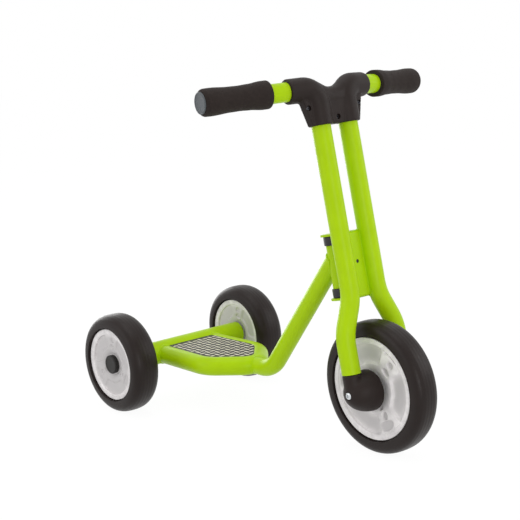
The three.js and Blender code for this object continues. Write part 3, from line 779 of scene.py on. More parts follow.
# Some finishes below paint a highlight along their sharp edges, and the rim's also paints shade into its hollows.
GREEN = Finish(
    "green_powder_coat", "green_paint", (179, 218, 8), 0.32, specular=0.14, mottle=0.03, uneven=0.05,
    grains=(Grain(3.2 * MM, 0.02 * MM), Grain(0.7 * MM, 0.004 * MM)),
)
COVER = Finish(
    "grained_black_moulding", "cover_plastic", (37, 28, 25), 0.5, specular=0.2, mottle=0.08,
    grains=(Grain(0.55 * MM, 0.03 * MM, 3.0), Grain(9 * MM, 0.05 * MM)), edge_highlight=0.25,
)
GRIP = Finish(
    "soft_grip_rubber", "grip_rubber", (42, 34, 31), 0.8, specular=0.2, sheen=0.04, mottle=0.14,
    mottle_cell=6 * MM, grains=(Grain(0.9 * MM, 0.09 * MM, 4.0), Grain(0.35 * MM, 0.03 * MM)),
)
GRIP_CAP = Finish(
    "grey_cap_moulding", "grip_cap_plastic", (86, 90, 94), 0.45, specular=0.3, mottle=0.05,
    grains=(Grain(0.5 * MM, 0.015 * MM),), edge_highlight=0.3,
)
TYRE = Finish(
    "smooth_tyre_rubber", "tyre", (29, 19, 16), 0.4, specular=0.24, sheen=0.01, mottle=0.1,
    mottle_cell=18 * MM, uneven=0.08, grains=(Grain(0.6 * MM, 0.02 * MM, 3.0), Grain(6 * MM, 0.05 * MM)),
    lines=Grain(7.3 * MM, 0.13 * MM),
)
RIM = Finish(
    "satin_white_moulding", "rim_plastic", (240, 236, 236), 0.34, specular=0.4, mottle=0.13,
    mottle_cell=15 * MM, grains=(Grain(0.7 * MM, 0.012 * MM), Grain(7 * MM, 0.05 * MM)), edge_highlight=0.4,
    hollow_shade=0.7,
)
HUB_CAP = Finish(
    "dark_grey_cap", "hub_cap_plastic", (33, 31, 29), 0.45, specular=0.3, mottle=0.06,
    grains=(Grain(0.6 * MM, 0.02 * MM),), edge_highlight=0.25,
)
BUSH = Finish(
    "black_bush_moulding", "bush_plastic", (30, 28, 31), 0.34, specular=0.4, mottle=0.06,
    grains=(Grain(0.6 * MM, 0.012 * MM),), edge_highlight=0.25,
)
ZINC = Finish(
    "zinc_plated_steel", "zinc_steel", (206, 209, 212), 0.28, metallic=0.95, mottle=0.06,
    mottle_cell=5 * MM, grains=(Grain(0.8 * MM, 0.006 * MM),),
)
DARK_STEEL = Finish(
    "dark_plated_steel", "dark_steel", (70, 70, 74), 0.42, metallic=0.85, mottle=0.08,
    mottle_cell=5 * MM, grains=(Grain(0.8 * MM, 0.008 * MM),),
)
FINISHES = (GREEN, COVER, GRIP, GRIP_CAP, TYRE, RIM, HUB_CAP, BUSH, ZINC, DARK_STEEL)


def add_piece(name: str, bm: BMesh, body: str, finish: Finish, *replaces: str) -> None:
    """Turns a mesh into a finished piece of the scooter.

    Args:
        name: The piece's name.
        bm: Its mesh, in the frame's axes.
        body: The body that it moves with.
        finish: Its surface.
        *replaces: The frame's nodes that it stands for.
    """
    bmesh.ops.remove_doubles(bm, verts=bm.verts, dist=MERGE)
    bmesh.ops.dissolve_degenerate(bm, dist=MERGE, edges=bm.edges)
    bmesh.ops.recalc_face_normals(bm, faces=bm.faces)
    mesh = bpy.data.meshes.new(name)
    bm.to_mesh(mesh)
    bm.free()
    mesh.shade_smooth()
    mesh.set_sharp_from_angle(angle=CREASE)
    mesh.materials.append(finish.material())
    piece = bpy.data.objects.new(name, mesh)
    bpy.context.scene.collection.objects.link(piece)
    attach(piece, body)
    if replaces:
        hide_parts(*replaces)
    mesh.calc_loop_triangles()
    log.info("%s: %d triangles on %s", name, len(mesh.loop_triangles), body)


def joint_named(name: str) -> dict:
    """Finds one of the frame's joints."""
    return next(joint for joint in frame["joints"] if joint["name"] == name)


def meeting(start: Vector, way: Vector, reach: float, other: Route, radius: float) -> Vector:
    """Finds where a straight line enters a tube.

    Args:
        start: Where the line starts, outside the tube.
        way: The line's heading.
        reach: How far along it the tube is looked for.
        other: The tube's centre line.
        radius: The tube's radius.

    Returns:
        The place on the tube's skin.
    """
    near, far = 0.0, reach
    for _ in range(HALVINGS):
        middle = (near + far) / 2
        if other.distance(start + way * middle) > radius:
            near = middle
        else:
            far = middle
    return start + way * near


def seam(start: Vector, way: Vector, radius: float, other: Route, other_radius: float, steps: int) -> Route:
    """Follows the line where a straight tube meets another one.

    Args:
        start: A point on the straight tube's axis, outside the other tube.
        way: Where the straight tube runs from there, towards the other.
        radius: The straight tube's radius.
        other: The other tube's centre line.
        other_radius: The other tube's radius.
        steps: How many parts the line has.

    Returns:
        The closed line, its last point the same as its first.
    """
    side = way.orthogonal().normalized()
    up = way.cross(side)
    reach = other.distance(start)
    points = []
    for k in range(steps + 1):
        angle = FULL_TURN * k / steps
        foot = start + side * (radius * math.cos(angle)) + up * (radius * math.sin(angle))
        points.append(meeting(foot, way, reach, other, other_radius))
    return Route.through(points)


@dataclass(frozen=True)
class Weld:
    """The bead of a weld, with the faint ripple of its runs."""

    radius: float = 2.3 * MM
    ripple: float = 0.05
    ripple_steps: int = 3
    sides: int = 12

    def bead(self, route: Route) -> BMesh:
        """Lays the bead along a line."""
        return bar(route, self.radius, self.sides, self.swell)

    def swell(self, station: int) -> float:
        """Gives the bead's size at a station of its line."""
        return 1 + self.ripple * math.cos(FULL_TURN * station / self.ripple_steps)


@dataclass
class Deck:
    """The welded rear frame: axle tube, bent deck tube, pan, tread sheet and down tube."""

    body: str = "frame"
    axle_tube_radius: float = 24.15 * MM
    axle_tube_wall: float = 2.9 * MM
    axle_tube_edge: float = 0.9 * MM
    axle_bore_edge: float = 0.5 * MM
    axle_plug_depth: float = 12 * MM
    axle_plug_edge: float = 0.6 * MM
    deck_drop: float = 2 * MM
    tube_radius: float = 19.05 * MM
    tube_wall: float = 2.6 * MM
    rear_half_width: float = 66.6 * MM
    half_width: float = 71 * MM
    side_corner: float = 424.3 * MM
    nose_corner: float = 345 * MM
    side_bend: float = 60 * MM
    nose_bend: float = 30 * MM
    plate_sink: float = 1.75 * MM
    plate_thickness: float = 3.4 * MM
    plate_edge: float = 0.5 * MM
    pan_thickness: float = 2 * MM
    pan_edge: float = 0.4 * MM
    bar_pitch_x: float = 15.75 * MM
    bar_pitch_y: float = 13.12 * MM
    bar_half_x: float = 10.0 * MM
    bar_half_y: float = 8.4 * MM
    bar_half_width: float = 3.0 * MM
    bar_height: float = 1.1 * MM
    bar_sink: float = 0.15 * MM
    bar_margin: float = 1.2 * MM
    bar_sides: int = 14
    bar_rings: int = 8
    down_radius: float = 17.5 * MM
    down_wall: float = 2.3 * MM
    down_head_share: float = 0.74
    down_stub: float = 59.4 * MM
    down_bend: float = 62 * MM
    weld: Weld = Weld()
    nose_weld: Weld = Weld(radius=1.2 * MM, ripple=0.0)
    weld_steps: int = 72

    def __post_init__(self) -> None:
        """Reads the places that the deck hangs on from the frame."""
        left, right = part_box("rear_left_tyre"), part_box("rear_right_tyre")
        self.axle = (left[0] + left[1] + right[0] + right[1]) / 4
        low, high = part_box("rear_axle_tube")
        self.axle_half = (high.y - low.y) / 2
        self.axle_bore = self.axle_tube_radius - self.axle_tube_wall
        self.front_axle_x = joint_named("front_wheel_spin")["pos_m"][0]
        self.height = self.axle.z - self.deck_drop
        self.plate_top = self.height + self.tube_radius - self.plate_sink
        flank = math.atan2(self.half_width, self.side_corner - self.nose_corner)
        beyond = self.nose_bend * (1 / math.sin(flank) - 1)
        self.nose_x = self.front_axle_x - self.nose_corner - beyond

    def loop(self, inset: float = 0.0) -> Route:
        """Draws the deck tube's centre line, or a line inside it.

        Args:
            inset: How far inside the centre line it runs.

        Returns:
            The line, from the axle round the nose and back.
        """
        side_x = self.front_axle_x - self.side_corner
        places = [
            (self.axle.x, self.rear_half_width), (side_x, self.half_width),
            (self.front_axle_x - self.nose_corner, 0.0), (side_x, -self.half_width),
            (self.axle.x, -self.rear_half_width),
        ]
        corners = [Vector((x, y, self.height)) for x, y in places]
        line = Route.bent(corners, [self.side_bend, self.nose_bend, self.side_bend])
        inward = [Vector((h.y, -h.x, 0)) for h in line.headings]
        return Route([p + n * inset for p, n in zip(line.points, inward)], line.headings)

    def closest(self, height: float) -> float:
        """Gives how near a flat plate comes to the deck tube's centre line, at the plate's height."""
        return math.sqrt(self.tube_radius**2 - (height - self.height) ** 2)

    def outline(self, top: float, margin: float = 0.0) -> Profile:
        """Draws the edge of a plate that fills the loop and stops at the axle tube.

        Args:
            top: The height of the plate's top.
            margin: How far the edge stays inside that plate's.

        Returns:
            The edge's points.
        """
        reach = math.sqrt(self.axle_tube_radius**2 - (top - self.axle.z) ** 2)
        rear = self.axle.x + reach + GAP + margin
        line = self.loop(self.closest(top) + GAP + margin).points
        return [(rear, line[0].y), *((p.x, p.y) for p in line[1:-1]), (rear, line[-1].y)]

    def plate(self, top: float, thickness: float, bevel: float) -> BMesh:
        """Makes a plate that fills the deck's loop."""
        return slab(self.outline(top), top - thickness, top, bevel=bevel)

    def tread_bar(self, half_length: float) -> bpy.types.Mesh:
        """Makes one raised bar of the tread sheet.

        Args:
            half_length: Half the bar's length, along its own X.

        Returns:
            The bar's mesh.
        """
        bm = bmesh.new()
        bmesh.ops.create_uvsphere(bm, u_segments=self.bar_sides, v_segments=self.bar_rings, radius=1.0)
        size = Matrix.Diagonal((half_length, self.bar_half_width, self.bar_height, 1))
        bmesh.ops.transform(bm, matrix=size, verts=bm.verts)
        made = bmesh.ops.bisect_plane(
            bm, geom=[*bm.verts, *bm.edges, *bm.faces], dist=MERGE, plane_co=(0, 0, -self.bar_sink),
            plane_no=UP, clear_inner=True,
        )
        rim = [g for g in made["geom_cut"] if isinstance(g, bmesh.types.BMEdge)]
        bmesh.ops.contextual_create(bm, geom=rim)
        mesh = bpy.data.meshes.new("tread_bar")
        bm.to_mesh(mesh)
        bm.free()
        return mesh

    def bar_places(self) -> list[tuple[Vector, int]]:
        """Finds where the raised bars lie inside the loop.

        Returns:
            Each bar's place, with 1 where it lies across the deck and 0 where it lies along it.
        """
        line = self.loop()
        closest = self.closest(self.plate_top)
        rear = self.axle.x + self.axle_tube_radius
        columns = math.ceil(abs(self.axle.x) / self.bar_pitch_x)
        rows = math.ceil(self.half_width / self.bar_pitch_y)
        places = []
        for i in range(-columns, columns + 1):
            for j in range(-rows, rows + 1):
                x, y = i * self.bar_pitch_x, j * self.bar_pitch_y
                in_loop = abs(y) < self.half_width and rear < x < self.nose_x
                if in_loop and line.distance(Vector((x, y, self.height))) >= closest:
                    places.append((Vector((x, y, self.plate_top)), (i + j) % 2))
        return places

    def tread(self) -> BMesh:
        """Makes the tread sheet with its raised bars, each turned across its neighbours.

        Returns:
            The sheet's mesh.
        """
        bars = bmesh.new()
        kinds = [self.tread_bar(self.bar_half_x), self.tread_bar(self.bar_half_y)]
        for spot, across in self.bar_places():
            start = len(bars.verts)
            bars.from_mesh(kinds[across])
            bars.verts.ensure_lookup_table()
            place = Matrix.Translation(spot) @ Matrix.Rotation(math.pi / 2 * across, 4, "Z")
            bmesh.ops.transform(bars, matrix=place, verts=bars.verts[start:])
        for mesh in kinds:
            bpy.data.meshes.remove(mesh)
        field_edge = self.outline(self.plate_top, self.bar_margin)
        low, high = self.plate_top - self.plate_thickness, self.plate_top + 2 * self.bar_height
        bars = cut(bars, [slab(field_edge, low, high)], Cut.KEEP)
        return gathered([self.plate(self.plate_top, self.plate_thickness, self.plate_edge), bars])

    def down_route(self, head: "Head") -> Route:
        """Draws the down tube's centre line, from the head tube to the nose of the deck.

        Args:
            head: The steering head that the tube starts at.

        Returns:
            The line.
        """
        top = head.spot(self.down_head_share)
        corner = Vector((self.nose_x + self.down_stub, 0, self.height))
        return Route.bent([top, corner, Vector((self.nose_x, 0, self.height))], [self.down_bend])

    def welds(self, head: "Head") -> BMesh:
        """Lays the beads where the tubes meet.

        Args:
            head: The steering head, which the down tube meets.

        Returns:
            The beads' mesh.
        """
        loop = self.loop()
        ends = (-self.axle_half, self.axle_half)
        axle = Route.through([Vector((self.axle.x, y, self.axle.z)) for y in ends])
        joints = []
        for first, second in ((1, 0), (-2, -1)):
            way = (loop.points[second] - loop.points[first]).normalized()
            start = loop.points[second] - way * (2 * self.axle_tube_radius)
            joints.append((self.weld, start, way, self.tube_radius, axle, self.axle_tube_radius))
        down = self.down_route(head)
        way = down.headings[-1]
        start = down.points[-1] - way * (2 * self.tube_radius)
        joints.append((self.nose_weld, start, way, self.down_radius, loop, self.tube_radius))
        way = -down.headings[0]
        start = down.points[0] - way * (2 * head.tube_radius)
        joints.append((self.weld, start, way, self.down_radius, head.axis(), head.tube_radius))
        return gathered([weld.bead(seam(*line, self.weld_steps)) for weld, *line in joints])

    def axle_parts(self) -> None:
        """Makes what closes the axle tube and carries the rear wheels."""
        rod_low, rod_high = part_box("rear_axle_rod")
        rod = (rod_high.z - rod_low.z) / 2 + GAP
        plug_radius = self.axle_bore - GAP / 2
        plug_foot = self.axle_half - self.axle_plug_depth
        plug = rounded([
            (rod, plug_foot, 0), (plug_radius, plug_foot, 0),
            (plug_radius, self.axle_half, self.axle_plug_edge), (rod, self.axle_half, self.axle_bore_edge),
        ])
        for side in Side:
            seat = facing(Vector((self.axle.x, 0, self.axle.z)), side.way)
            add_piece(f"axle_plug_{side.word}", turned(plug, seat), self.body, DARK_STEEL,
                      f"rear_axle_plug_{side.word}")
            low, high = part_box(f"rear_axle_spacer_{side.word}")
            inner, outer = sorted((abs(low.y), abs(high.y)))
            spacer = ring(rod, (high.z - low.z) / 2, (inner, outer), 0, self.axle_bore_edge)
            add_piece(f"axle_spacer_{side.word}", turned(spacer, seat), self.body, ZINC,
                      f"rear_axle_spacer_{side.word}")

    def build(self, head: "Head") -> None:
        """Makes every piece of the rear frame.

        Args:
            head: The steering head that the down tube runs up to.
        """
        seat = facing(Vector((self.axle.x, 0, self.axle.z)), LEFTWARD)
        ends = (-self.axle_half, self.axle_half)
        tube = ring(self.axle_bore, self.axle_tube_radius, ends, self.axle_bore_edge, self.axle_tube_edge)
        add_piece("axle_cross_tube", turned(tube, seat, ROUND_SIDES), self.body, GREEN, "rear_axle_tube")
        deck_tube = pipe(self.loop(), self.tube_radius, self.tube_wall)
        add_piece("deck_tube", deck_tube, self.body, GREEN, "deck_loop_tube")
        down_tube = pipe(self.down_route(head), self.down_radius, self.down_wall)
        add_piece("main_down_tube", down_tube, self.body, GREEN, "down_tube")
        add_piece("frame_welds", self.welds(head), self.body, GREEN)
        pan = self.plate(self.plate_top - self.plate_thickness - GAP, self.pan_thickness, self.pan_edge)
        add_piece("deck_floor_pan", pan, self.body, GREEN, "deck_pan")
        # A dark sheet with a highlight painted on the tops of its raised bars.
        tread = TreadFinish(
            "dark_tread_sheet", "tread_rubber", (34, 28, 20), 0.55, mottle=0.1, mottle_cell=12 * MM,
            grains=(Grain(0.6 * MM, 0.03 * MM, 3.0),), ground_height=self.plate_top,
            bar_height=self.bar_height,
        )
        add_piece("tread_sheet", self.tread(), self.body, tread, "deck_tread_plate")
        self.axle_parts()


class Steering:
    """The steering's own axes: Z up the raked fork from the front axle, X forward."""

    def __init__(self) -> None:
        """Reads the axle's place and the rake from the frame."""
        self.axle = Vector(joint_named("front_wheel_spin")["pos_m"])
        up = Vector(joint_named("steering_turn")["axis"]).normalized()
        turn = Matrix((LEFTWARD.cross(up), LEFTWARD, up)).transposed().to_4x4()
        self.matrix = Matrix.Translation(self.axle) @ turn

    def add(self, name: str, bm: BMesh, finish: Finish, *replaces: str) -> None:
        """Lays a mesh that was drawn in the steering's axes into the frame's, as a piece that steers.

        Args:
            name: The piece's name.
            bm: Its mesh.
            finish: Its surface.
            *replaces: The frame's nodes that it stands for.
        """
        bmesh.ops.transform(bm, matrix=self.matrix, verts=bm.verts)
        add_piece(name, bm, "steering", finish, *replaces)


@dataclass
class Head:
    """The steering head of the frame: its tube and its two bushes."""

    steering: Steering
    body: str = "frame"
    offset: float = 53 * MM
    bottom: float = 185.2 * MM
    tube_radius: float = 18 * MM
    tube_wall: float = 2.5 * MM
    tube_edge: float = 0.9 * MM
    bore_edge: float = 0.4 * MM
    length: float = 80 * MM
    bush_rim: float = 2.5 * MM
    bush_height: float = 16.6 * MM
    bush_spigot: float = 14 * MM
    spigot_edge: float = 0.6 * MM
    rim_low_edge: float = 1.2 * MM
    rim_high_edge: float = 1.4 * MM
    hole_edge: float = 0.5 * MM
    pivot_radius: float = 8 * MM
    beyond_share: float = 0.5

    def spot(self, share: float) -> Vector:
        """Gives a point of the head tube's axis, as a share of its length from the bottom."""
        return self.steering.matrix @ Vector((-self.offset, 0, self.bottom + self.length * share))

    def axis(self) -> Route:
        """Gives the head tube's axis, a little longer than the tube."""
        return Route.through([self.spot(-self.beyond_share), self.spot(1 + self.beyond_share)])

    def build(self) -> None:
        """Makes the head tube and its bushes."""
        up = (self.spot(1) - self.spot(0)).normalized()
        bore = self.tube_radius - self.tube_wall
        tube = ring(bore, self.tube_radius, (0, self.length), self.bore_edge, self.tube_edge)
        add_piece("steering_head_tube", turned(tube, facing(self.spot(0), up), ROUND_SIDES), self.body,
                  GREEN, "head_tube")
        hole = self.pivot_radius + GAP
        spigot = bore - GAP / 2
        rim = self.tube_radius + self.bush_rim
        low, high = GAP - self.bush_spigot, GAP + self.bush_height
        bush = rounded([
            (hole, low, 0), (spigot, low, self.spigot_edge), (spigot, GAP, 0),
            (rim, GAP, self.rim_low_edge), (rim, high, self.rim_high_edge),
            (hole, high, self.hole_edge),
        ])
        for name, share, way in (("upper", 1, up), ("lower", 0, -up)):
            made = turned(bush, facing(self.spot(share), way), ROUND_SIDES)
            add_piece(f"steering_bush_{name}", made, self.body, BUSH, f"head_bush_{name}")


@dataclass(frozen=True)
class Screw:
    """A screw with a hexagon socket: its shank's radius and length, and its head's radius and height."""

    shank: float
    length: float
    head: float
    rise: float
    edge: float = 0.5 * MM
    head_edge: float = 0.4 * MM
    dome_power: float = 0.8
    dome_foot_share: float = 0.15
    dome_turns: range = range(0, 61, 10)
    socket_share: float = 0.42
    socket_depth_share: float = 0.6

    def socketed(self, profile: Profile, place: Matrix) -> BMesh:
        """Turns the screw's profile and sinks the socket into the top of its head.

        Args:
            profile: Radius and height of each point, the last one on top of the head.
            place: Where the screw goes.

        Returns:
            The screw's mesh.
        """
        socket = bmesh.new()
        radius = self.socket_share * self.head
        bmesh.ops.create_cone(
            socket, cap_ends=True, segments=6, radius1=radius, radius2=radius,
            depth=2 * self.socket_depth_share * self.rise,
            matrix=place @ Matrix.Translation((0, 0, profile[-1][1])),
        )
        return cut(turned(profile, place), [socket], Cut.TAKE)

    def button(self, place: Matrix) -> BMesh:
        """Makes the screw with a button head.

        Args:
            place: Where the underside of its head goes, with Z out of the head.

        Returns:
            The screw's mesh.
        """
        foot = self.dome_foot_share
        turns = [math.radians(a) for a in self.dome_turns]
        dome = [
            (self.head * math.cos(a) ** self.dome_power, self.rise * (foot + (1 - foot) * math.sin(a)))
            for a in turns
        ]
        shank = [(0, -self.length), (self.shank, -self.length), (self.shank, 0), (self.head, 0)]
        return self.socketed([*shank, *dome, (0, dome[-1][1])], place)

    def countersunk(self, place: Matrix) -> BMesh:
        """Makes the screw with a countersunk head.

        Args:
            place: Where the top of its head goes, with Z out of the head.

        Returns:
            The screw's mesh.
        """
        profile = rounded([
            (0, -self.length, 0), (self.shank, -self.length, self.edge), (self.shank, -self.rise, 0),
            (self.head, 0, self.head_edge), (0, 0, 0),
        ], closed=False)
        return self.socketed(profile, place)

    def countersink(self, gap: float, place: Matrix) -> BMesh:
        """Makes the space that a countersunk screw takes.

        Args:
            gap: How far the space stands off the screw.
            place: Where the top of the head goes, with Z out of the head.

        Returns:
            The space's mesh.
        """
        shank, head, low = self.shank + gap, self.head + gap, -3 * self.rise
        profile = [(0, low), (shank, low), (shank, -self.rise - gap), (head, -gap), (head, self.rise),
                   (0, self.rise)]
        return turned(profile, place)


@dataclass
class Fork:
    """The two bent tubes of the fork and handlebar, and the bracket that joins them."""

    steering: Steering
    head: Head
    radius: float = 17.5 * MM
    wall: float = 2.3 * MM
    offset: float = 33.5 * MM
    leg_offset: float = 64 * MM
    leg_end: float = 36.8 * MM
    splay_low: float = 106 * MM
    splay_rise: float = 63 * MM
    splay_bend: float = 86 * MM
    bar_height: float = 547 * MM
    bar_end: float = 255.2 * MM
    bar_bend: float = 38 * MM
    sweep: float = 10.0
    bracket_bottom: float = 164 * MM
    bracket_top: float = 286.4 * MM
    bracket_thickness: float = 4 * MM
    bracket_bend: float = 7 * MM
    bracket_bend_steps: int = 8
    bracket_front: float = -2.2 * MM
    bracket_end: float = 25 * MM
    bracket_edge: float = 0.7 * MM
    flange_steps: int = 48
    hole_radius: float = 3.5 * MM
    hole_rise: float = 66.5 * MM
    plug_recess: float = 1.2 * MM
    plug_edge: float = 0.4 * MM
    pivot_edge: float = 0.5 * MM
    screw: Screw = Screw(4 * MM, 18 * MM, 7.6 * MM, 3.6 * MM)
    screw_gap: float = 0.15 * MM
    weld: Weld = Weld(radius=1.4 * MM, ripple=0.03)
    weld_sink_share: float = 1 / 3
    weld_steps: int = 60
    flange_weld: Weld = Weld(radius=1.6 * MM)
    flange_weld_turns: range = range(10, 60, 5)

    def bar_corners(self, side: Side, low: float, end: float) -> list[Vector]:
        """Gives the corners of one half of the handlebar.

        Args:
            side: The half's side.
            low: The height that it starts at.
            end: The distance sideways that it reaches.

        Returns:
            The corners of its centre line.
        """
        back = (end - self.offset) * math.tan(math.radians(self.sweep))
        return [
            Vector((0, side.value * self.offset, low)),
            Vector((0, side.value * self.offset, self.bar_height)),
            Vector((-back, side.value * end, self.bar_height)),
        ]

    def route(self, side: Side) -> Route:
        """Draws one fork tube, from its lower end to the end of the handlebar.

        Args:
            side: The tube's side.

        Returns:
            The tube's centre line.
        """
        leg = [Vector((0, side.value * self.leg_offset, z)) for z in (self.leg_end, self.splay_low)]
        corners = [*leg, *self.bar_corners(side, self.splay_low + self.splay_rise, self.bar_end)]
        return Route.bent(corners, [self.splay_bend, self.splay_bend, self.bar_bend])

    def bracket(self) -> BMesh:
        """Makes the folded bracket: a web between the tubes and a round ended flange at each end.

        Returns:
            The bracket's mesh, with its holes.
        """
        rear, front, end = -self.head.offset, self.bracket_front, self.bracket_end
        low, high = self.bracket_bottom, self.bracket_top
        thick, bend = self.bracket_thickness, self.bracket_bend
        inner = bend - thick
        outline = rounded([
            (rear, low, 0), (front, low, bend), (front, high, bend), (rear, high, 0),
            (rear, high - thick, 0), (front - thick, high - thick, inner),
            (front - thick, low + thick, inner), (rear, low + thick, 0),
        ], steps=self.bracket_bend_steps)
        web = slab(outline, -end, end, Matrix.Rotation(math.pi / 2, 4, "X"))
        start = front - bend
        flange = [(start, -end), (start, end), *arc((rear, 0), end, 90, 270, self.flange_steps)]
        flanges = [slab(flange, z, z + thick, bevel=self.bracket_edge) for z in (low, high - thick)]
        hole = cylinder(self.hole_radius, -thick, 3 * thick, self.hole_place(front))
        seats = [self.screw.countersink(self.screw_gap, place) for place in self.screw_places()]
        return cut(cut(web, flanges, Cut.JOIN), [hole, *seats], Cut.TAKE)

    def hole_place(self, front: float) -> Matrix:
        """Gives the place of the web's small hole, from its front backwards."""
        return facing(Vector((front, 0, self.bracket_bottom + self.hole_rise)), BACKWARD)

    def screw_places(self) -> list[Matrix]:
        """Gives the place of the screw at the pivot's upper and lower end."""
        ends = ((self.bracket_top, UP), (self.bracket_bottom, DOWN))
        return [facing(Vector((-self.head.offset, 0, height)), way) for height, way in ends]

    def welds(self) -> BMesh:
        """Lays the beads along the tubes where the bracket meets them.

        Returns:
            The beads' mesh.
        """
        low, high = self.bracket_bottom, self.bracket_top
        thick, bend = self.bracket_thickness, self.bracket_bend
        sink = self.weld.radius * self.weld_sink_share
        faces = (self.bracket_front - sink, self.bracket_front - thick + sink)
        run = high - low - 2 * bend
        heights = [low + bend + run * k / self.weld_steps for k in range(self.weld_steps + 1)]
        depths = [self.radius * math.sin(math.radians(a)) for a in self.flange_weld_turns]
        beads = []
        for side in Side:
            route = self.route(side)
            lines = [(self.weld, [Vector((x, 0, z)) for z in heights]) for x in faces]
            for z in (low, low + thick, high - thick, high):
                lines.append((self.flange_weld, [Vector((-x, 0, z)) for x in depths]))
            for weld, spots in lines:
                met = [meeting(spot, side.way, self.leg_offset, route, self.radius) for spot in spots]
                line = [p for p in met if abs(p.y) < self.bracket_end]
                if len(line) > 2:
                    beads.append(weld.bead(Route.through(line)))
        return gathered(beads)

    def hole_shade_plug(self) -> BMesh:
        """Makes a dark plug that sits back in the bracket's hole: painted shade, standing in for the shadow inside
        the hole.

        Returns:
            The plug's mesh.
        """
        depth = self.bracket_thickness - self.plug_recess
        profile = rounded([
            (0, 0, 0), (self.hole_radius, 0, self.plug_edge), (self.hole_radius, depth, 0), (0, depth, 0),
        ], closed=False)
        return turned(profile, self.hole_place(self.bracket_front - self.plug_recess))

    def build(self) -> None:
        """Makes the tubes, the bracket, its welds and the pivot."""
        for side in Side:
            tube = pipe(self.route(side), self.radius, self.wall)
            self.steering.add(f"fork_and_bar_tube_{side.word}", tube, GREEN, f"fork_tube_{side.word}")
        self.steering.add("fork_bracket", self.bracket(), GREEN, "head_bracket")
        self.steering.add("bracket_welds", self.welds(), GREEN)
        # A dark plug as painted shade in the bracket's hole.
        self.steering.add("bracket_hole_shade_plug", self.hole_shade_plug(), BUSH)
        bore, thick = self.screw.shank + GAP, self.bracket_thickness
        ends = (self.bracket_bottom + thick, self.bracket_top - thick)
        pin = ring(bore, self.head.pivot_radius, ends, 0, self.pivot_edge)
        place = Matrix.Translation((-self.head.offset, 0, 0))
        self.steering.add("pivot_sleeve", turned(pin, place), DARK_STEEL, "pivot_pin")
        for name, place in zip(("upper", "lower"), self.screw_places()):
            screw = self.screw.countersunk(place)
            self.steering.add(f"pivot_screw_head_{name}", screw, DARK_STEEL, f"pivot_screw_{name}")


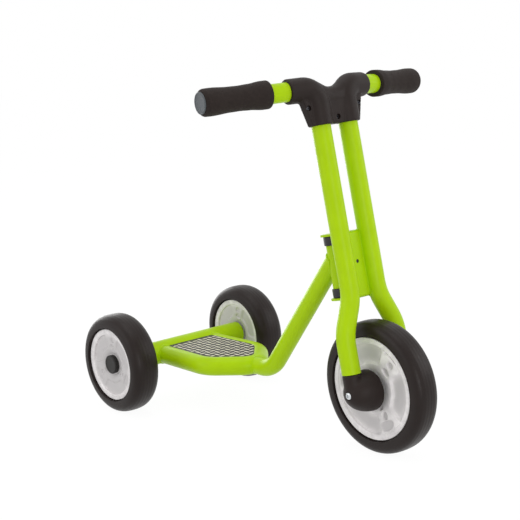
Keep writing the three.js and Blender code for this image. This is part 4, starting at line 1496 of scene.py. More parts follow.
@dataclass
class BarCover:
    """The moulded cover round the two handlebar bends, in two halves held by three screws."""

    steering: Steering
    fork: Fork
    radius: float = 22.3 * MM
    bend: float = 27 * MM
    arm_end: float = 92 * MM
    lower_reach: float = 66.5 * MM
    web_half: float = 12.5 * MM
    upper_half: float = 18 * MM
    gusset_half: float = 8.5 * MM
    gusset_margin: float = 2.2 * MM
    saddle_power: float = 1.3
    shrink: float = 0.35 * MM
    side_reach: float = 68.5 * MM
    saddle_rise: float = 1.5 * MM
    saddle_reach: float = 60 * MM
    saddle_steps: int = 32
    cell: float = 1.3 * MM
    rounds: int = 20
    split_gap: float = 0.5 * MM
    bore_gap: float = 0.25 * MM
    overrun: float = 6 * MM
    split_overrun: float = 10 * MM
    side_rise: float = 32.5 * MM
    middle_rise: float = 11.5 * MM
    screw: Screw = Screw(2.5 * MM, 14 * MM, 4.4 * MM, 2.6 * MM)
    screw_inset: float = 3.1 * MM
    screw_sink: float = 2.2 * MM
    screw_lift: float = 0.1 * MM
    recess_gap: float = 0.5 * MM
    recess_edge: float = 0.4 * MM
    hole_gap: float = 0.2 * MM

    def __post_init__(self) -> None:
        """Works out the heights and widths that the cover takes from the fork."""
        self.low = self.fork.bar_height - self.lower_reach
        self.lower_side = self.fork.offset + self.radius
        self.slope = math.tan(math.radians(self.fork.sweep))

    def saddle(self) -> Route:
        """Draws the middle of the rounded top edge that dips between the two arms.

        Returns:
            The edge's centre line.
        """
        rise = self.radius - self.saddle_rise
        points = []
        for k in range(self.saddle_steps + 1):
            share = 1 - 2 * k / self.saddle_steps
            across = share * self.saddle_reach
            back = max(0.0, abs(across) - self.fork.offset) * self.slope
            swing = ((1 - math.cos(math.pi * share)) / 2) ** self.saddle_power
            height = self.fork.bar_height + self.saddle_rise + rise * swing
            points.append(Vector((-back, across, height - self.upper_half)))
        return Route.through(points)

    def blank(self) -> BMesh:
        """Makes the cover's outer form: two arms with a web between them, blended together.

        Returns:
            The form's closed mesh.
        """
        fork, low = self.fork, self.low
        under = fork.bar_height - self.radius
        valley = fork.bar_height + self.saddle_rise - self.upper_half
        lying = Matrix.Rotation(math.pi / 2, 4, "X")
        upright = Matrix.Rotation(math.pi / 2, 4, "Z") @ lying
        saddle = self.saddle()
        inner = [(p.y, p.z) for p in saddle.points if abs(p.y) < fork.offset]
        middle = [(fork.offset, under), *inner, (-fork.offset, under)]
        upper, lower = self.upper_half, self.web_half
        wedge = [(upper, valley), (-upper, valley), (-lower, low), (lower, low)]
        reach, foot = self.side_reach + self.gusset_margin, self.lower_side + self.gusset_margin
        gusset = [(reach, fork.bar_height), (-reach, fork.bar_height), (-reach, under), (-foot, low),
                  (foot, low), (reach, under)]
        parts = [
            slab(middle, -upper, upper, upright),
            slab(wedge, -fork.offset, fork.offset, lying),
            slab(gusset, -self.gusset_half, self.gusset_half, upright),
            bar(saddle, upper),
        ]
        for side in Side:
            route = Route.bent(fork.bar_corners(side, low, self.arm_end), [self.bend])
            parts.append(bar(route, self.radius + self.shrink))
        return melted(gathered(parts), self.cell, self.rounds)

    def front_space(self, gap: float) -> BMesh:
        """Makes the space in front of the line that splits the cover.

        Args:
            gap: How far the space starts in front of that line.

        Returns:
            The space's mesh.
        """
        wide, deep, offset = self.arm_end + self.split_overrun, 3 * self.radius, self.fork.offset
        back = gap - (wide - offset) * self.slope
        outline = [(back, wide), (gap, offset), (gap, -offset), (back, -wide), (deep, -wide), (deep, wide)]
        return slab(outline, self.low - self.lower_reach, self.fork.bar_height + deep)

    def screw_places(self) -> list[tuple[str, Vector]]:
        """Finds where the screws sit.

        Returns:
            Each screw's name and the place that its head sits on.
        """
        share = self.side_rise / (self.lower_reach - self.radius)
        side = self.lower_side + (self.side_reach - self.lower_side) * share - self.screw_inset
        depth = self.screw.rise + self.screw_sink
        outer, middle = self.gusset_half - depth, self.web_half - depth
        return [
            ("left", Vector((outer, side, self.low + self.side_rise))),
            ("right", Vector((outer, -side, self.low + self.side_rise))),
            ("middle", Vector((middle, 0, self.low + self.middle_rise))),
        ]

    def build(self) -> None:
        """Makes the two halves and their screws."""
        fork = self.fork
        bores = []
        for side in Side:
            line = fork.bar_corners(side, self.low - self.overrun, self.arm_end + self.overrun)
            bores.append(bar(Route.bent(line, [fork.bar_bend]), fork.radius + self.bore_gap))
        shell = cut(self.blank(), bores, Cut.TAKE)
        wide, narrow, deep = self.screw.head + self.recess_gap, self.screw.shank + self.hole_gap, self.radius
        corners = [(0, 0, 0), (wide, 0, self.recess_edge), (wide, deep, 0), (0, deep, 0)]
        places = [facing(seat, AHEAD) for _, seat in self.screw_places()]
        recesses = [turned(rounded(corners, closed=False), place) for place in places]
        holes = [cylinder(narrow, -self.screw.length, deep, place) for place in places]
        back = shell.copy()
        front = cut(shell, [self.front_space(self.split_gap / 2)], Cut.KEEP)
        front = cut(front, [*recesses, *(hole.copy() for hole in holes)], Cut.TAKE)
        back = cut(back, [self.front_space(-self.split_gap / 2), *holes], Cut.TAKE)
        for name, half in (("front", front), ("back", back)):
            self.steering.add(f"bar_cover_{name}", half, COVER, f"handlebar_cover_{name}")
        for name, seat in self.screw_places():
            screw = self.screw.button(facing(seat + AHEAD * self.screw_lift, AHEAD))
            self.steering.add(f"bar_cover_screw_{name}", screw, DARK_STEEL, f"cover_screw_{name}")


@dataclass
class Grips:
    """The two moulded grips and the caps that close the tube ends."""

    steering: Steering
    fork: Fork
    start: float = 130 * MM
    overhang: float = 4.35 * MM
    flare_wall: float = 7.6 * MM
    neck_wall: float = 5.2 * MM
    waist_wall: float = 4.4 * MM
    palm_wall: float = 4.7 * MM
    bulge_wall: float = 6.7 * MM
    end_wall: float = 6.4 * MM
    wall_shares: tuple[float, ...] = (0.0, 0.09, 0.30, 0.44, 0.58, 0.86, 1.0)
    end_rounding: float = 7 * MM
    end_turns: range = range(0, 91, 9)
    lip_rounding: float = 2.2 * MM
    lip_turns: range = range(0, 91, 15)
    fit: float = 0.1 * MM
    steps: int = 60
    cap_rim: float = 1.8 * MM
    cap_thickness: float = 2.4 * MM
    cap_stem: float = 16 * MM
    cap_stem_gap: float = 0.2 * MM
    cap_stem_edge: float = 1 * MM
    cap_dish: float = 0.7 * MM
    cap_dish_slope: float = 0.6 * MM
    cap_ring: float = 2.2 * MM
    cap_ring_edge: float = 0.5 * MM
    cap_rounding: float = 1.1 * MM
    cap_edge: float = 0.3 * MM

    def wall_at(self, share: float) -> float:
        """Gives the grip's wall, eased between its flare, neck, waist, palm, bulge and end.

        Args:
            share: The place along the grip, as a share of its length.

        Returns:
            The wall.
        """
        walls = (self.flare_wall, self.flare_wall, self.neck_wall, self.waist_wall, self.palm_wall,
                 self.bulge_wall, self.end_wall)
        for k, (low, high) in enumerate(zip(self.wall_shares, self.wall_shares[1:])):
            if share <= high:
                return walls[k] + (walls[k + 1] - walls[k]) * smooth_step((share - low) / (high - low))
        return walls[-1]

    def profile(self, length: float) -> Profile:
        """Draws the grip's section, with its two rounded ends.

        Args:
            length: The grip's length.

        Returns:
            Radius and height of each point.
        """
        outer, inner = self.fork.radius, self.fork.radius + self.fit
        points = [(inner, 0.0)]
        for turn in (math.radians(a) for a in self.lip_turns):
            wall = self.wall_at(0) - self.lip_rounding * (1 - math.sin(turn))
            points.append((outer + wall, self.lip_rounding * (1 - math.cos(turn))))
        first, last = self.lip_rounding / length, 1 - self.end_rounding / length
        for k in range(1, self.steps):
            share = first + (last - first) * k / self.steps
            points.append((outer + self.wall_at(share), share * length))
        for turn in (math.radians(a) for a in self.end_turns):
            wall = self.wall_at(last) - self.end_rounding * (1 - math.cos(turn))
            points.append((outer + wall, length - self.end_rounding * (1 - math.sin(turn))))
        points.append((inner, length))
        return points

    def cap_profile(self, length: float) -> Profile:
        """Draws the end cap's section.

        Args:
            length: The grip's length, which the cap closes.

        Returns:
            Radius and height of each point.
        """
        stem = self.fork.radius - self.fork.wall - self.cap_stem_gap
        rim = self.fork.radius + self.cap_rim
        ring = rim - self.cap_ring
        foot = length - self.overhang - self.cap_stem
        top = length + self.fit + self.cap_thickness
        return rounded([
            (0, foot, 0), (stem, foot, self.cap_stem_edge), (stem, length, 0), (rim, length, self.cap_edge),
            (rim, top, self.cap_rounding), (ring, top, self.cap_ring_edge),
            (ring - self.cap_dish_slope, top - self.cap_dish, self.cap_edge), (0, top - self.cap_dish, 0),
        ], closed=False)

    def build(self) -> None:
        """Makes both grips and both caps."""
        fork = self.fork
        sweep = math.radians(fork.sweep)
        length = (fork.bar_end - self.start) / math.cos(sweep) + self.overhang
        back = (self.start - fork.offset) * math.tan(sweep)
        for side in Side:
            way = Vector((-math.sin(sweep), side.value * math.cos(sweep), 0))
            place = facing(Vector((-back, side.value * self.start, fork.bar_height)), way)
            grip = turned(self.profile(length), place, ROUND_SIDES)
            self.steering.add(f"rubber_grip_{side.word}", grip, GRIP, f"grip_{side.word}")
            cap = turned(self.cap_profile(length), place, ROUND_SIDES)
            self.steering.add(f"bar_end_cap_{side.word}", cap, GRIP_CAP, f"grip_end_cap_{side.word}")


@dataclass
class ForkEnds:
    """The domed covers at the fork ends, and the axle with its spacers and screws."""

    steering: Steering
    fork: Fork
    radius: float = 38.2 * MM
    inner_face: float = 27.4 * MM
    crown: float = 18.2 * MM
    wall: float = 3.2 * MM
    dome_steps: int = 36
    hollow_shift: float = 2 * MM
    cell: float = 1.1 * MM
    rounds: int = 26
    axle_radius: float = 6 * MM
    axle_edge: float = 0.6 * MM
    spacer_radius: float = 9.5 * MM
    spacer_edge: float = 0.5 * MM
    spacer_fit: float = 0.1 * MM
    dropout: float = 6 * MM
    hub_half: float = 12 * MM
    screw: Screw = Screw(4 * MM, 17.9 * MM, 7 * MM, 4.2 * MM)
    screw_seat: float = 14.5 * MM
    screw_lift: float = 0.1 * MM
    recess_gap: float = 0.4 * MM
    dimple: float = 1.5 * MM
    dimple_drop: float = 7 * MM
    dimple_overrun: float = 6 * MM

    def dome(self, radius: float, depth: float, place: Matrix) -> BMesh:
        """Makes a half ellipsoid on the cover's inner face.

        Args:
            radius: Its radius on that face.
            depth: How far it stands out.
            place: Where it goes.

        Returns:
            The closed mesh.
        """
        profile = [(0, self.inner_face)]
        for k in range(self.dome_steps):
            turn = math.pi / 2 * k / self.dome_steps
            profile.append((radius * math.cos(turn), self.inner_face + depth * math.sin(turn)))
        profile.append((0, self.inner_face + depth))
        return turned(profile, place, ROUND_SIDES)

    def cover(self, side: Side) -> BMesh:
        """Makes one cover: a dome round the axle that flows into the end of the fork tube.

        Args:
            side: The cover's side.

        Returns:
            The cover's mesh, hollow and with its holes.
        """
        fork = self.fork
        place = facing(ORIGIN, side.way)
        foot = facing(side.way * fork.leg_offset, UP)
        depth = fork.leg_offset + self.crown - self.inner_face
        post = cylinder(fork.radius, 0, fork.leg_end - GAP, foot, ROUND_SIDES)
        skin = melted(gathered([self.dome(self.radius, depth, place), post]), self.cell, self.rounds)
        hollow_depth = fork.leg_offset - self.inner_face - self.dropout
        inward = facing(-side.way * self.hollow_shift, side.way)
        hollow = self.dome(self.radius - self.wall, hollow_depth, inward)
        seat = fork.leg_offset + self.screw_seat
        beyond = seat + self.radius
        recess = cylinder(self.screw.head + self.recess_gap, seat, beyond, place)
        hole = cylinder(self.screw.shank + GAP, 0, beyond, place)
        spot = Vector((fork.radius, side.value * fork.leg_offset, fork.leg_end - self.dimple_drop))
        pip = cylinder(self.dimple, -self.dimple, self.dimple_overrun, facing(spot, AHEAD))
        return cut(skin, [hollow, recess, hole, pip], Cut.TAKE)

    def build(self) -> None:
        """Makes the covers, the spacers, the axle and its screws."""
        fork = self.fork
        half = fork.leg_offset - self.dropout / 2 - GAP
        radius, edge = self.axle_radius, self.axle_edge
        corners = [(0, -half, 0), (radius, -half, edge), (radius, half, edge), (0, half, 0)]
        rod = rounded(corners, closed=False)
        self.steering.add("front_axle_rod", turned(rod, facing(ORIGIN, LEFTWARD)), ZINC, "front_axle")
        bore, ends = self.axle_radius + self.spacer_fit, (self.hub_half + GAP, half)
        spacer = ring(bore, self.spacer_radius, ends, 0, self.spacer_edge)
        seat = fork.leg_offset + self.screw_seat + self.screw_lift
        for side in Side:
            self.steering.add(f"fork_end_moulding_{side.word}", self.cover(side), COVER,
                              f"fork_end_cover_{side.word}")
            self.steering.add(f"front_spacer_{side.word}", turned(spacer, facing(ORIGIN, side.way)), ZINC,
                              f"front_axle_spacer_{side.word}")
            screw = self.screw.button(facing(side.way * seat, side.way))
            self.steering.add(f"axle_screw_{side.word}", screw, ZINC, f"front_axle_screw_{side.word}")


def turn_from(angle: float, middle: float) -> float:
    """Gives how far an angle in radians lies from a middle in degrees, within half a turn."""
    return (angle - math.radians(middle) + math.pi) % FULL_TURN - math.pi


@dataclass(frozen=True)
class Dimple:
    """An oval hollow in a rim's spoke: its place by radius and angle, and its half lengths."""

    radius: float
    angle: float
    half_along: float
    half_across: float
    reach: float = 1.1
    wall: float = 0.4

    def share(self, radius: float, angle: float) -> float:
        """Gives how deep the hollow is at a place of the rim's face.

        Args:
            radius: The place's distance from the axle.
            angle: Its angle, in radians.

        Returns:
            The depth, from 0 outside the hollow to 1.
        """
        along = turn_from(angle, self.angle) * radius / (self.half_along * MM)
        across = (radius - self.radius * MM) / (self.half_across * MM)
        return smooth_step((self.reach - math.hypot(along, across)) / self.wall)


@dataclass(frozen=True)
class Pocket:
    """A wide hollow between two spokes: its middle and half its turn, in degrees, and its radii."""

    middle: float
    half_turn: float
    low: float = 48 * MM
    high: float = 84.5 * MM
    blend: float = 4.5 * MM
    wall_share: float = 1.2
    # How far the painted shade spreads past the pocket's edge, as a share of the blend.
    painted_shade_share: float = 4.0

    def shares(self, radius: float, angle: float) -> tuple[float, float]:
        """Gives how deep the pocket is at a place of the rim's face, and how much shade is painted there.

        Args:
            radius: The place's distance from the axle.
            angle: Its angle, in radians.

        Returns:
            The depth and the share of painted shade, from 0 outside the pocket to 1.
        """
        beside = (math.radians(self.half_turn) - abs(turn_from(angle, self.middle))) * radius
        inside = (self.high - radius, radius - self.low, beside)
        soft = -math.log(sum(math.exp(-reach / self.blend) for reach in inside))
        return smooth_step((soft + 1 / 2) / self.wall_share), smooth_step((soft + 1) / self.painted_shade_share)


DIMPLES = (
    Dimple(84.3, 56, 19, 2.2), Dimple(68.7, 50, 7.5, 7.5), Dimple(49.5, 50, 10, 7),
    Dimple(72, -58.5, 20, 10), Dimple(54, -54.5, 7.5, 8), Dimple(37, -59.6, 7, 5),
    Dimple(72, 180, 20, 10), Dimple(54, 180, 7.5, 8), Dimple(37, 180, 7, 5),
)
POCKETS = (Pocket(0, 33), Pocket(112, 40), Pocket(-112, 40))


@dataclass(frozen=True)
class WheelKind:
    """What sets one wheel apart: its sizes, its tyre's squareness, and its rim's turn, relief and painted shade.
    """

    radius: float
    tyre_width: float
    tyre_height: float
    lip_inset: float
    hub_half: float
    squareness: float
    turn: float
    # Scales the depth of the rim's hollows and the shade painted into them.
    relief: float = 1.0
    # How much shade is painted over the rim's whole dish inside the lip.
    tone: float = 0.0


# The rear rims have shallower hollows and shade painted over their whole dish.
REAR_KIND = WheelKind(102.5 * MM, 62 * MM, 28.2 * MM, 4.85 * MM, 17 * MM, 2.8, 30, relief=0.6, tone=0.95)


class Wheels(Enum):
    """The wheels by name, each with its own kind."""

    FRONT = WheelKind(122.5 * MM, 54 * MM, 27.8 * MM, 3.1 * MM, 12 * MM, 3.2, -3)
    REAR_LEFT = REAR_KIND
    REAR_RIGHT = replace(REAR_KIND, turn=31)


@dataclass
class Wheel:
    """One wheel: a smooth tyre on two moulded rim halves with pockets, and its bearings."""

    name: str
    kind: WheelKind
    lip_width: float = 6 * MM
    lip_height: float = 6 * MM
    lip_face: float = 9 * MM
    lip_step: float = 1.6 * MM
    lip_slope_share: float = 1.2
    lip_edge: float = 1.2 * MM
    lip_inner_edge: float = 1.4 * MM
    bead_edge: float = 0.6 * MM
    dish_edge: float = 0.8 * MM
    dish_margin: float = 2 * MM
    dish_power: float = 2.8
    dish_tolerance: float = 0.3 * MM
    face_step: float = 1.2 * MM
    wall: float = 5 * MM
    web_wall: float = 8 * MM
    web_rounding: float = 2 * MM
    hub_radius: float = 21 * MM
    hub_rounding: float = 1 * MM
    half_gap: float = 0.15 * MM
    bearing_radius: float = 14 * MM
    bearing_width: float = 8 * MM
    bearing_gap: float = 0.2 * MM
    bearing_ring: float = 2 * MM
    bearing_slope: float = 0.2 * MM
    bearing_edge: float = 0.3 * MM
    shield_sink: float = 0.5 * MM
    shield_edge: float = 0.1 * MM
    axle_radius: float = 6 * MM
    axle_gap: float = 0.15 * MM
    bead_gap: float = 0.2 * MM
    groove_gap: float = 0.3 * MM
    groove_width: float = 1.7 * MM
    groove_depth: float = 3.5 * MM
    tyre_steps: int = 44
    design_radius: float = 94.7 * MM
    pocket_depth: float = 5.0 * MM
    dimple_depth: float = 4.2 * MM
    # Where the shade painted over the dish starts inside the lip, and how far it fades in.
    painted_shade_start: float = 88 * MM
    painted_shade_fade: float = 20 * MM

    def __post_init__(self) -> None:
        """Reads the wheel's place from the frame, and works out its rim."""
        low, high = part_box(f"{self.name}_tyre")
        self.centre = (low + high) / 2
        self.half = self.kind.tyre_width / 2
        self.face = self.half - self.kind.lip_inset
        self.rim_radius = self.kind.radius - self.kind.tyre_height
        self.scale = self.rim_radius / self.design_radius
        self.lip_radius = self.rim_radius - self.lip_face
        self.dish_radius = self.lip_radius - self.lip_slope_share * self.lip_step
        self.dish_top = self.face - self.lip_step
        self.dish_reach = self.dish_radius - self.hub_radius

    def tyre(self) -> BMesh:
        """Makes the crowned tyre over its bead.

        Returns:
            The tyre's mesh.
        """
        bead = self.rim_radius - self.lip_height + self.bead_gap
        bead_half = self.face - self.lip_width - self.bead_gap
        lip = self.rim_radius + self.groove_gap
        base = self.rim_radius + self.lip_height / 2
        floor, wall = self.face - self.groove_depth, lip + self.groove_width
        rise, power = self.kind.radius - base, 2 / self.kind.squareness
        profile = [(bead, bead_half), (bead, -bead_half), (lip, -bead_half), (lip, -floor), (wall, -floor),
                   (wall, -self.face)]
        for k in range(self.tyre_steps + 1):
            angle = -math.pi / 2 + math.pi * k / self.tyre_steps
            across = math.copysign(abs(math.sin(angle)) ** power, math.sin(angle))
            out = max(0.0, math.cos(angle)) ** power
            profile.append((base + rise * out, self.half * across))
        profile += [(wall, self.face), (wall, floor), (lip, floor), (lip, bead_half)]
        return turned(profile, facing(self.centre, LEFTWARD), WHEEL_SIDES)

    def dish(self, radius: float) -> float:
        """Gives the height of the rim's plain dish at a distance from the axle."""
        fall = ((self.dish_radius - radius) / self.dish_reach) ** self.dish_power
        return self.dish_top - (self.dish_top - self.kind.hub_half) * fall

    def hollow(self, radius: float, angle: float) -> tuple[float, float]:
        """Gives how deep the rim's face is at a place, and how much shade is painted there.

        Args:
            radius: The distance from the axle.
            angle: The angle round it, in radians from the middle of the first pocket.

        Returns:
            The depth below the plain dish, and the share of painted shade.
        """
        place = radius / self.scale
        depth, tone = 0.0, 0.0
        for pocket in POCKETS:
            share, dark = pocket.shares(place, angle)
            depth, tone = max(depth, self.pocket_depth * share), max(tone, dark)
        for dimple in DIMPLES:
            share = dimple.share(place, angle)
            depth, tone = max(depth, self.dimple_depth * share), max(tone, share)
        # Painted shade: a share over the dish inside the lip, with the hollows' own painted shade on top.
        ground = self.kind.tone * smooth_step((self.painted_shade_start - place) / self.painted_shade_fade)
        return self.kind.relief * depth, ground + (1 - ground) * self.kind.relief * tone

    def rim_profile(self) -> Profile:
        """Draws the section of a rim half, with its plain dish.

        Returns:
            Radius and height of each point.
        """
        hub = self.kind.hub_half
        barrel = self.rim_radius - self.lip_height
        seat = self.face - self.lip_width
        bore = self.bearing_radius + self.bearing_gap
        shoulder = self.bearing_radius - self.wall / 2
        count = math.ceil(self.dish_reach / self.face_step)
        low, high = self.hub_radius + self.dish_margin, self.dish_radius - self.dish_margin
        radii = [self.dish_radius - self.dish_reach * k / count for k in range(1, count)]
        dish = [(r, self.dish(r)) for r in radii if low < r < high]
        lip = rounded([
            (barrel, self.half_gap, 0), (barrel, seat, self.bead_edge),
            (self.rim_radius, seat, self.bead_edge),
            (self.rim_radius, self.face, self.lip_edge), (self.lip_radius, self.face, self.lip_inner_edge),
            (self.dish_radius, self.dish_top, self.dish_edge), (*dish[0], 0),
        ], closed=False)
        centre = rounded([
            (*dish[-1], 0), (self.hub_radius, hub, self.hub_rounding), (bore, hub, self.bead_edge),
            (bore, hub - self.bearing_width, 0), (shoulder, hub - self.bearing_width, 0),
            (shoulder, self.half_gap, 0), (self.hub_radius, self.half_gap, self.bead_edge),
            (self.hub_radius, hub - self.web_wall, self.web_rounding),
            (barrel - self.wall, self.dish_top - self.web_wall, self.web_rounding),
            (barrel - self.wall, self.half_gap, 0),
        ], closed=False)
        return [*lip, *dish[1:-1], *centre]

    def rim_half(self, side: Side) -> BMesh:
        """Makes one rim half, with the hollows moulded into its face.

        Args:
            side: The side that its face looks to.

        Returns:
            The rim half's mesh, with the shade painted into its hollows as an attribute.
        """
        bm = turned(self.rim_profile(), LEVEL, RIM_SIDES)
        shade = bm.verts.layers.float.new(SHADE_LAYER)
        for vert in bm.verts:
            radius = math.hypot(vert.co.x, vert.co.y)
            on_face = self.hub_radius < radius < self.dish_radius
            if on_face and abs(vert.co.z - self.dish(radius)) < self.dish_tolerance:
                angle = math.atan2(vert.co.y, vert.co.x) - math.radians(self.kind.turn)
                # Sinks the hollows and stores the shade painted into them.
                depth, vert[shade] = self.hollow(radius, angle)
                vert.co.z -= depth
        turn = Matrix((AHEAD, UP, side.way)).transposed().to_4x4()
        bmesh.ops.transform(bm, matrix=Matrix.Translation(self.centre) @ turn, verts=bm.verts)
        return bm

    def bearing(self, side: Side) -> BMesh:
        """Makes one bearing: two rings with a recessed shield between them.

        Args:
            side: The side of the wheel that it sits on.

        Returns:
            The bearing's mesh.
        """
        inner, outer, high = self.axle_radius + self.axle_gap, self.bearing_radius, self.kind.hub_half
        low = high - self.bearing_width + self.bearing_gap
        shield = high - self.shield_sink
        ring, foot = self.bearing_ring, self.bearing_ring + self.bearing_slope
        edge, fine = self.bearing_edge, self.shield_edge
        profile = rounded([
            (inner, low, edge), (outer, low, edge), (outer, high, edge), (outer - ring, high, fine),
            (outer - foot, shield, fine), (inner + foot, shield, fine), (inner + ring, high, fine),
            (inner, high, edge),
        ], steps=3)
        return turned(profile, facing(self.centre, side.way))

    def build(self) -> None:
        """Makes the tyre, both rim halves and both bearings."""
        name, body = self.name, f"{self.name}_wheel"
        add_piece(f"{name}_tyre_smooth", self.tyre(), body, TYRE, f"{name}_tyre")
        for side in Side:
            word = side.word
            add_piece(f"{name}_rim_face_{word}", self.rim_half(side), body, RIM, f"{name}_rim_{word}")
            add_piece(f"{name}_bearing_ring_{word}", self.bearing(side), body, ZINC,
                      f"{name}_bearing_{word}")


@dataclass
class HubCaps:
    """The caps over the rear lock nuts, which turn with their wheels."""

    radius: float = 19.4 * MM
    beyond: float = 1.6 * MM
    wall: float = 1.8 * MM
    wall_edge: float = 0.8 * MM
    foot_edge: float = 0.3 * MM
    rounding: float = 2.2 * MM
    step_radius: float = 14.5 * MM
    step: float = 0.5 * MM
    step_edge: float = 0.6 * MM
    step_foot_edge: float = 0.4 * MM

    def build(self) -> None:
        """Makes both caps."""
        bore = self.radius - self.wall
        for side in Side:
            low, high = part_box(f"rear_hub_cap_{side.word}")
            depth = high.y - low.y
            tall = depth + self.beyond
            floor = tall - self.step
            profile = rounded([
                (0, tall - self.wall, 0), (bore, tall - self.wall, self.wall_edge), (bore, 0, 0),
                (self.radius, 0, self.foot_edge), (self.radius, tall, self.rounding),
                (self.step_radius, tall, self.step_edge),
                (self.step_radius - self.step, floor, self.step_foot_edge), (0, floor, 0),
            ], closed=False)
            foot = (low + high) / 2 - side.way * (depth / 2)
            add_piece(f"hub_cap_{side.word}", turned(profile, facing(foot, side.way), ROUND_SIDES),
                      f"rear_{side.word}_wheel", HUB_CAP, f"rear_hub_cap_{side.word}")


def dress_hidden_nodes() -> None:
    """Gives every node that still shows its own finish."""
    finishes = {finish.slot: finish for finish in FINISHES}
    slots = {part["node"]: part["material_slot"] for part in frame["record"]["subparts"]}
    for name, node in frame["nodes"].items():
        if node.hide_render:
            continue
        node.data.materials.clear()
        node.data.materials.append(finishes[slots[name]].material())
        log.info("%s keeps its own mesh with %s", name, finishes[slots[name]].name)


@dataclass(frozen=True)
class Lamp:
    """A square soft lamp: its name, its place, its side length and its power in watts."""

    name: str
    place: Triple
    size: float
    power: float

    def hang(self, aim: Vector) -> None:
        """Hangs the lamp.

        Args:
            aim: The point that it looks at.
        """
        data = bpy.data.lights.new(self.name, "AREA")
        data.size = self.size
        data.energy = self.power
        lamp = bpy.data.objects.new(self.name, data)
        spot = Vector(self.place)
        lamp.matrix_world = facing(spot, spot - aim)
        bpy.context.scene.collection.objects.link(lamp)


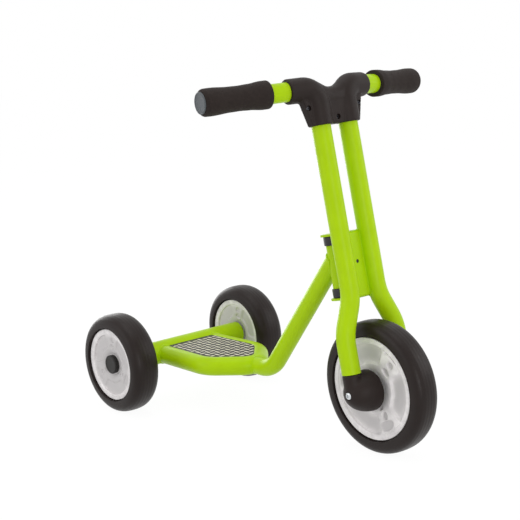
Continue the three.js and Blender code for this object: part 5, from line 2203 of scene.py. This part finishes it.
@dataclass
class Studio:
    """The camera at the photograph's place, a plain floor and soft light."""

    camera_place: Triple = (1.8630, -1.5774, 0.7883)
    azimuth: float = 50.251
    elevation: float = 10.735
    roll: float = -3.238
    lens: float = 88.24
    sensor: float = 36.0
    picture_size: int = 520
    shift_pixels: float = -0.6
    floor_size: float = 24.0
    floor_grey: Colour = (0.82, 0.82, 0.82, 1.0)
    floor_white: float = 0.9
    floor_glow: float = 1.06
    world_light: float = 0.56
    aim: Triple = (0.0, 0.0, 0.3)
    lamps: tuple[Lamp, ...] = (
        Lamp("top_lamp", (0.0, -0.2, 2.8), 2.0, 14),
        Lamp("left_lamp", (-0.9, -2.8, 1.5), 2.4, 17),
        Lamp("right_lamp", (1.9, 2.0, 1.5), 1.6, 13),
        Lamp("front_lamp", (2.9, -1.1, 0.7), 1.3, 15),
        Lamp("back_lamp", (-2.6, 0.5, 0.5), 1.5, 22),
    )

    def camera(self) -> None:
        """Sets the camera at the photograph's viewing angle."""
        a, e, r = (math.radians(v) for v in (self.azimuth, self.elevation, self.roll))
        back = Vector((math.sin(a) * math.cos(e), -math.cos(a) * math.cos(e), math.sin(e)))
        right = UP.cross(back).normalized()
        level = Matrix((right, back.cross(right), back)).transposed()
        data = bpy.data.cameras.new("camera")
        data.lens = self.lens
        data.sensor_width = self.sensor
        data.sensor_fit = "AUTO"
        data.shift_x = self.shift_pixels / self.picture_size
        made = bpy.data.objects.new("camera", data)
        turn = (level @ Matrix.Rotation(r, 3, "Z")).to_4x4()
        made.matrix_world = Matrix.Translation(self.camera_place) @ turn
        bpy.context.scene.collection.objects.link(made)
        bpy.context.scene.camera = made

    def seen(self, tree: Tree) -> Socket:
        """Tells the rays that show the background: from the camera, off gloss and through glass.

        Args:
            tree: The node tree that asks.

        Returns:
            An output that is 1 for those rays.
        """
        path = tree.nodes.new("ShaderNodeLightPath")
        total = path.outputs["Is Camera Ray"]
        for name in ("Is Glossy Ray", "Is Transmission Ray"):
            node = tree.nodes.new("ShaderNodeMath")
            node.operation = "MAXIMUM"
            tree.links.new(total, node.inputs[0])
            tree.links.new(path.outputs[name], node.inputs[1])
            total = node.outputs["Value"]
        return total

    def chosen(self, tree: Tree, share: Socket, plain: Socket, seen: Socket, kind: str) -> None:
        """Shows one shader to the rays that show the background, and another to the rest.

        Args:
            tree: The node tree, which has no output yet.
            share: How much of the second shader shows.
            plain: The first shader.
            seen: The second shader.
            kind: The output node's type.
        """
        mix = tree.nodes.new("ShaderNodeMixShader")
        out = tree.nodes.new(kind)
        tree.links.new(share, mix.inputs["Fac"])
        tree.links.new(plain, mix.inputs[1])
        tree.links.new(seen, mix.inputs[2])
        tree.links.new(mix.outputs["Shader"], out.inputs["Surface"])

    def world(self) -> None:
        """Makes a world that looks white and lights the scooter softly."""
        world = bpy.data.worlds.new("studio")
        bpy.context.scene.world = world
        world.use_nodes = True
        tree = world.node_tree
        tree.nodes.clear()
        light, white = (tree.nodes.new("ShaderNodeBackground") for _ in range(2))
        light.inputs["Strength"].default_value = self.world_light
        white.inputs["Color"].default_value = light.inputs["Color"].default_value = (1, 1, 1, 1)
        self.chosen(tree, self.seen(tree), light.outputs["Background"], white.outputs["Background"],
                    "ShaderNodeOutputWorld")

    def floor(self) -> None:
        """Lays a pale floor that keeps a soft shadow."""
        bm = bmesh.new()
        bmesh.ops.create_grid(bm, x_segments=1, y_segments=1, size=self.floor_size / 2)
        mesh = bpy.data.meshes.new("floor")
        bm.to_mesh(mesh)
        bm.free()
        floor = bpy.data.objects.new("floor", mesh)
        bpy.context.scene.collection.objects.link(floor)
        material = bpy.data.materials.new("pale_floor")
        material.use_nodes = True
        tree = material.node_tree
        tree.nodes.clear()
        matt = tree.nodes.new("ShaderNodeBsdfDiffuse")
        matt.inputs["Color"].default_value = self.floor_grey
        glow = tree.nodes.new("ShaderNodeEmission")
        glow.inputs["Strength"].default_value = self.floor_glow
        share = tree.nodes.new("ShaderNodeMath")
        share.operation = "MULTIPLY"
        share.inputs[1].default_value = self.floor_white
        tree.links.new(self.seen(tree), share.inputs[0])
        self.chosen(tree, share.outputs["Value"], matt.outputs["BSDF"], glow.outputs["Emission"],
                    "ShaderNodeOutputMaterial")
        mesh.materials.append(material)

    def build(self) -> None:
        """Sets camera, world, floor and lamps."""
        bpy.context.scene.view_settings.view_transform = "Standard"
        self.camera()
        self.world()
        self.floor()
        for lamp in self.lamps:
            lamp.hang(Vector(self.aim))


def main() -> None:
    """Builds the scooter, its finishes and its studio."""
    logging.basicConfig(level=logging.INFO, format="%(name)s %(message)s")
    Studio().build()
    steering = Steering()
    head = Head(steering)
    head.build()
    Deck().build(head)
    fork = Fork(steering, head)
    fork.build()
    BarCover(steering, fork).build()
    Grips(steering, fork).build()
    ForkEnds(steering, fork).build()
    for wheel in Wheels:
        Wheel(wheel.name.lower(), wheel.value).build()
    HubCaps().build()
    dress_hidden_nodes()


if __name__ == "__main__":
    main()
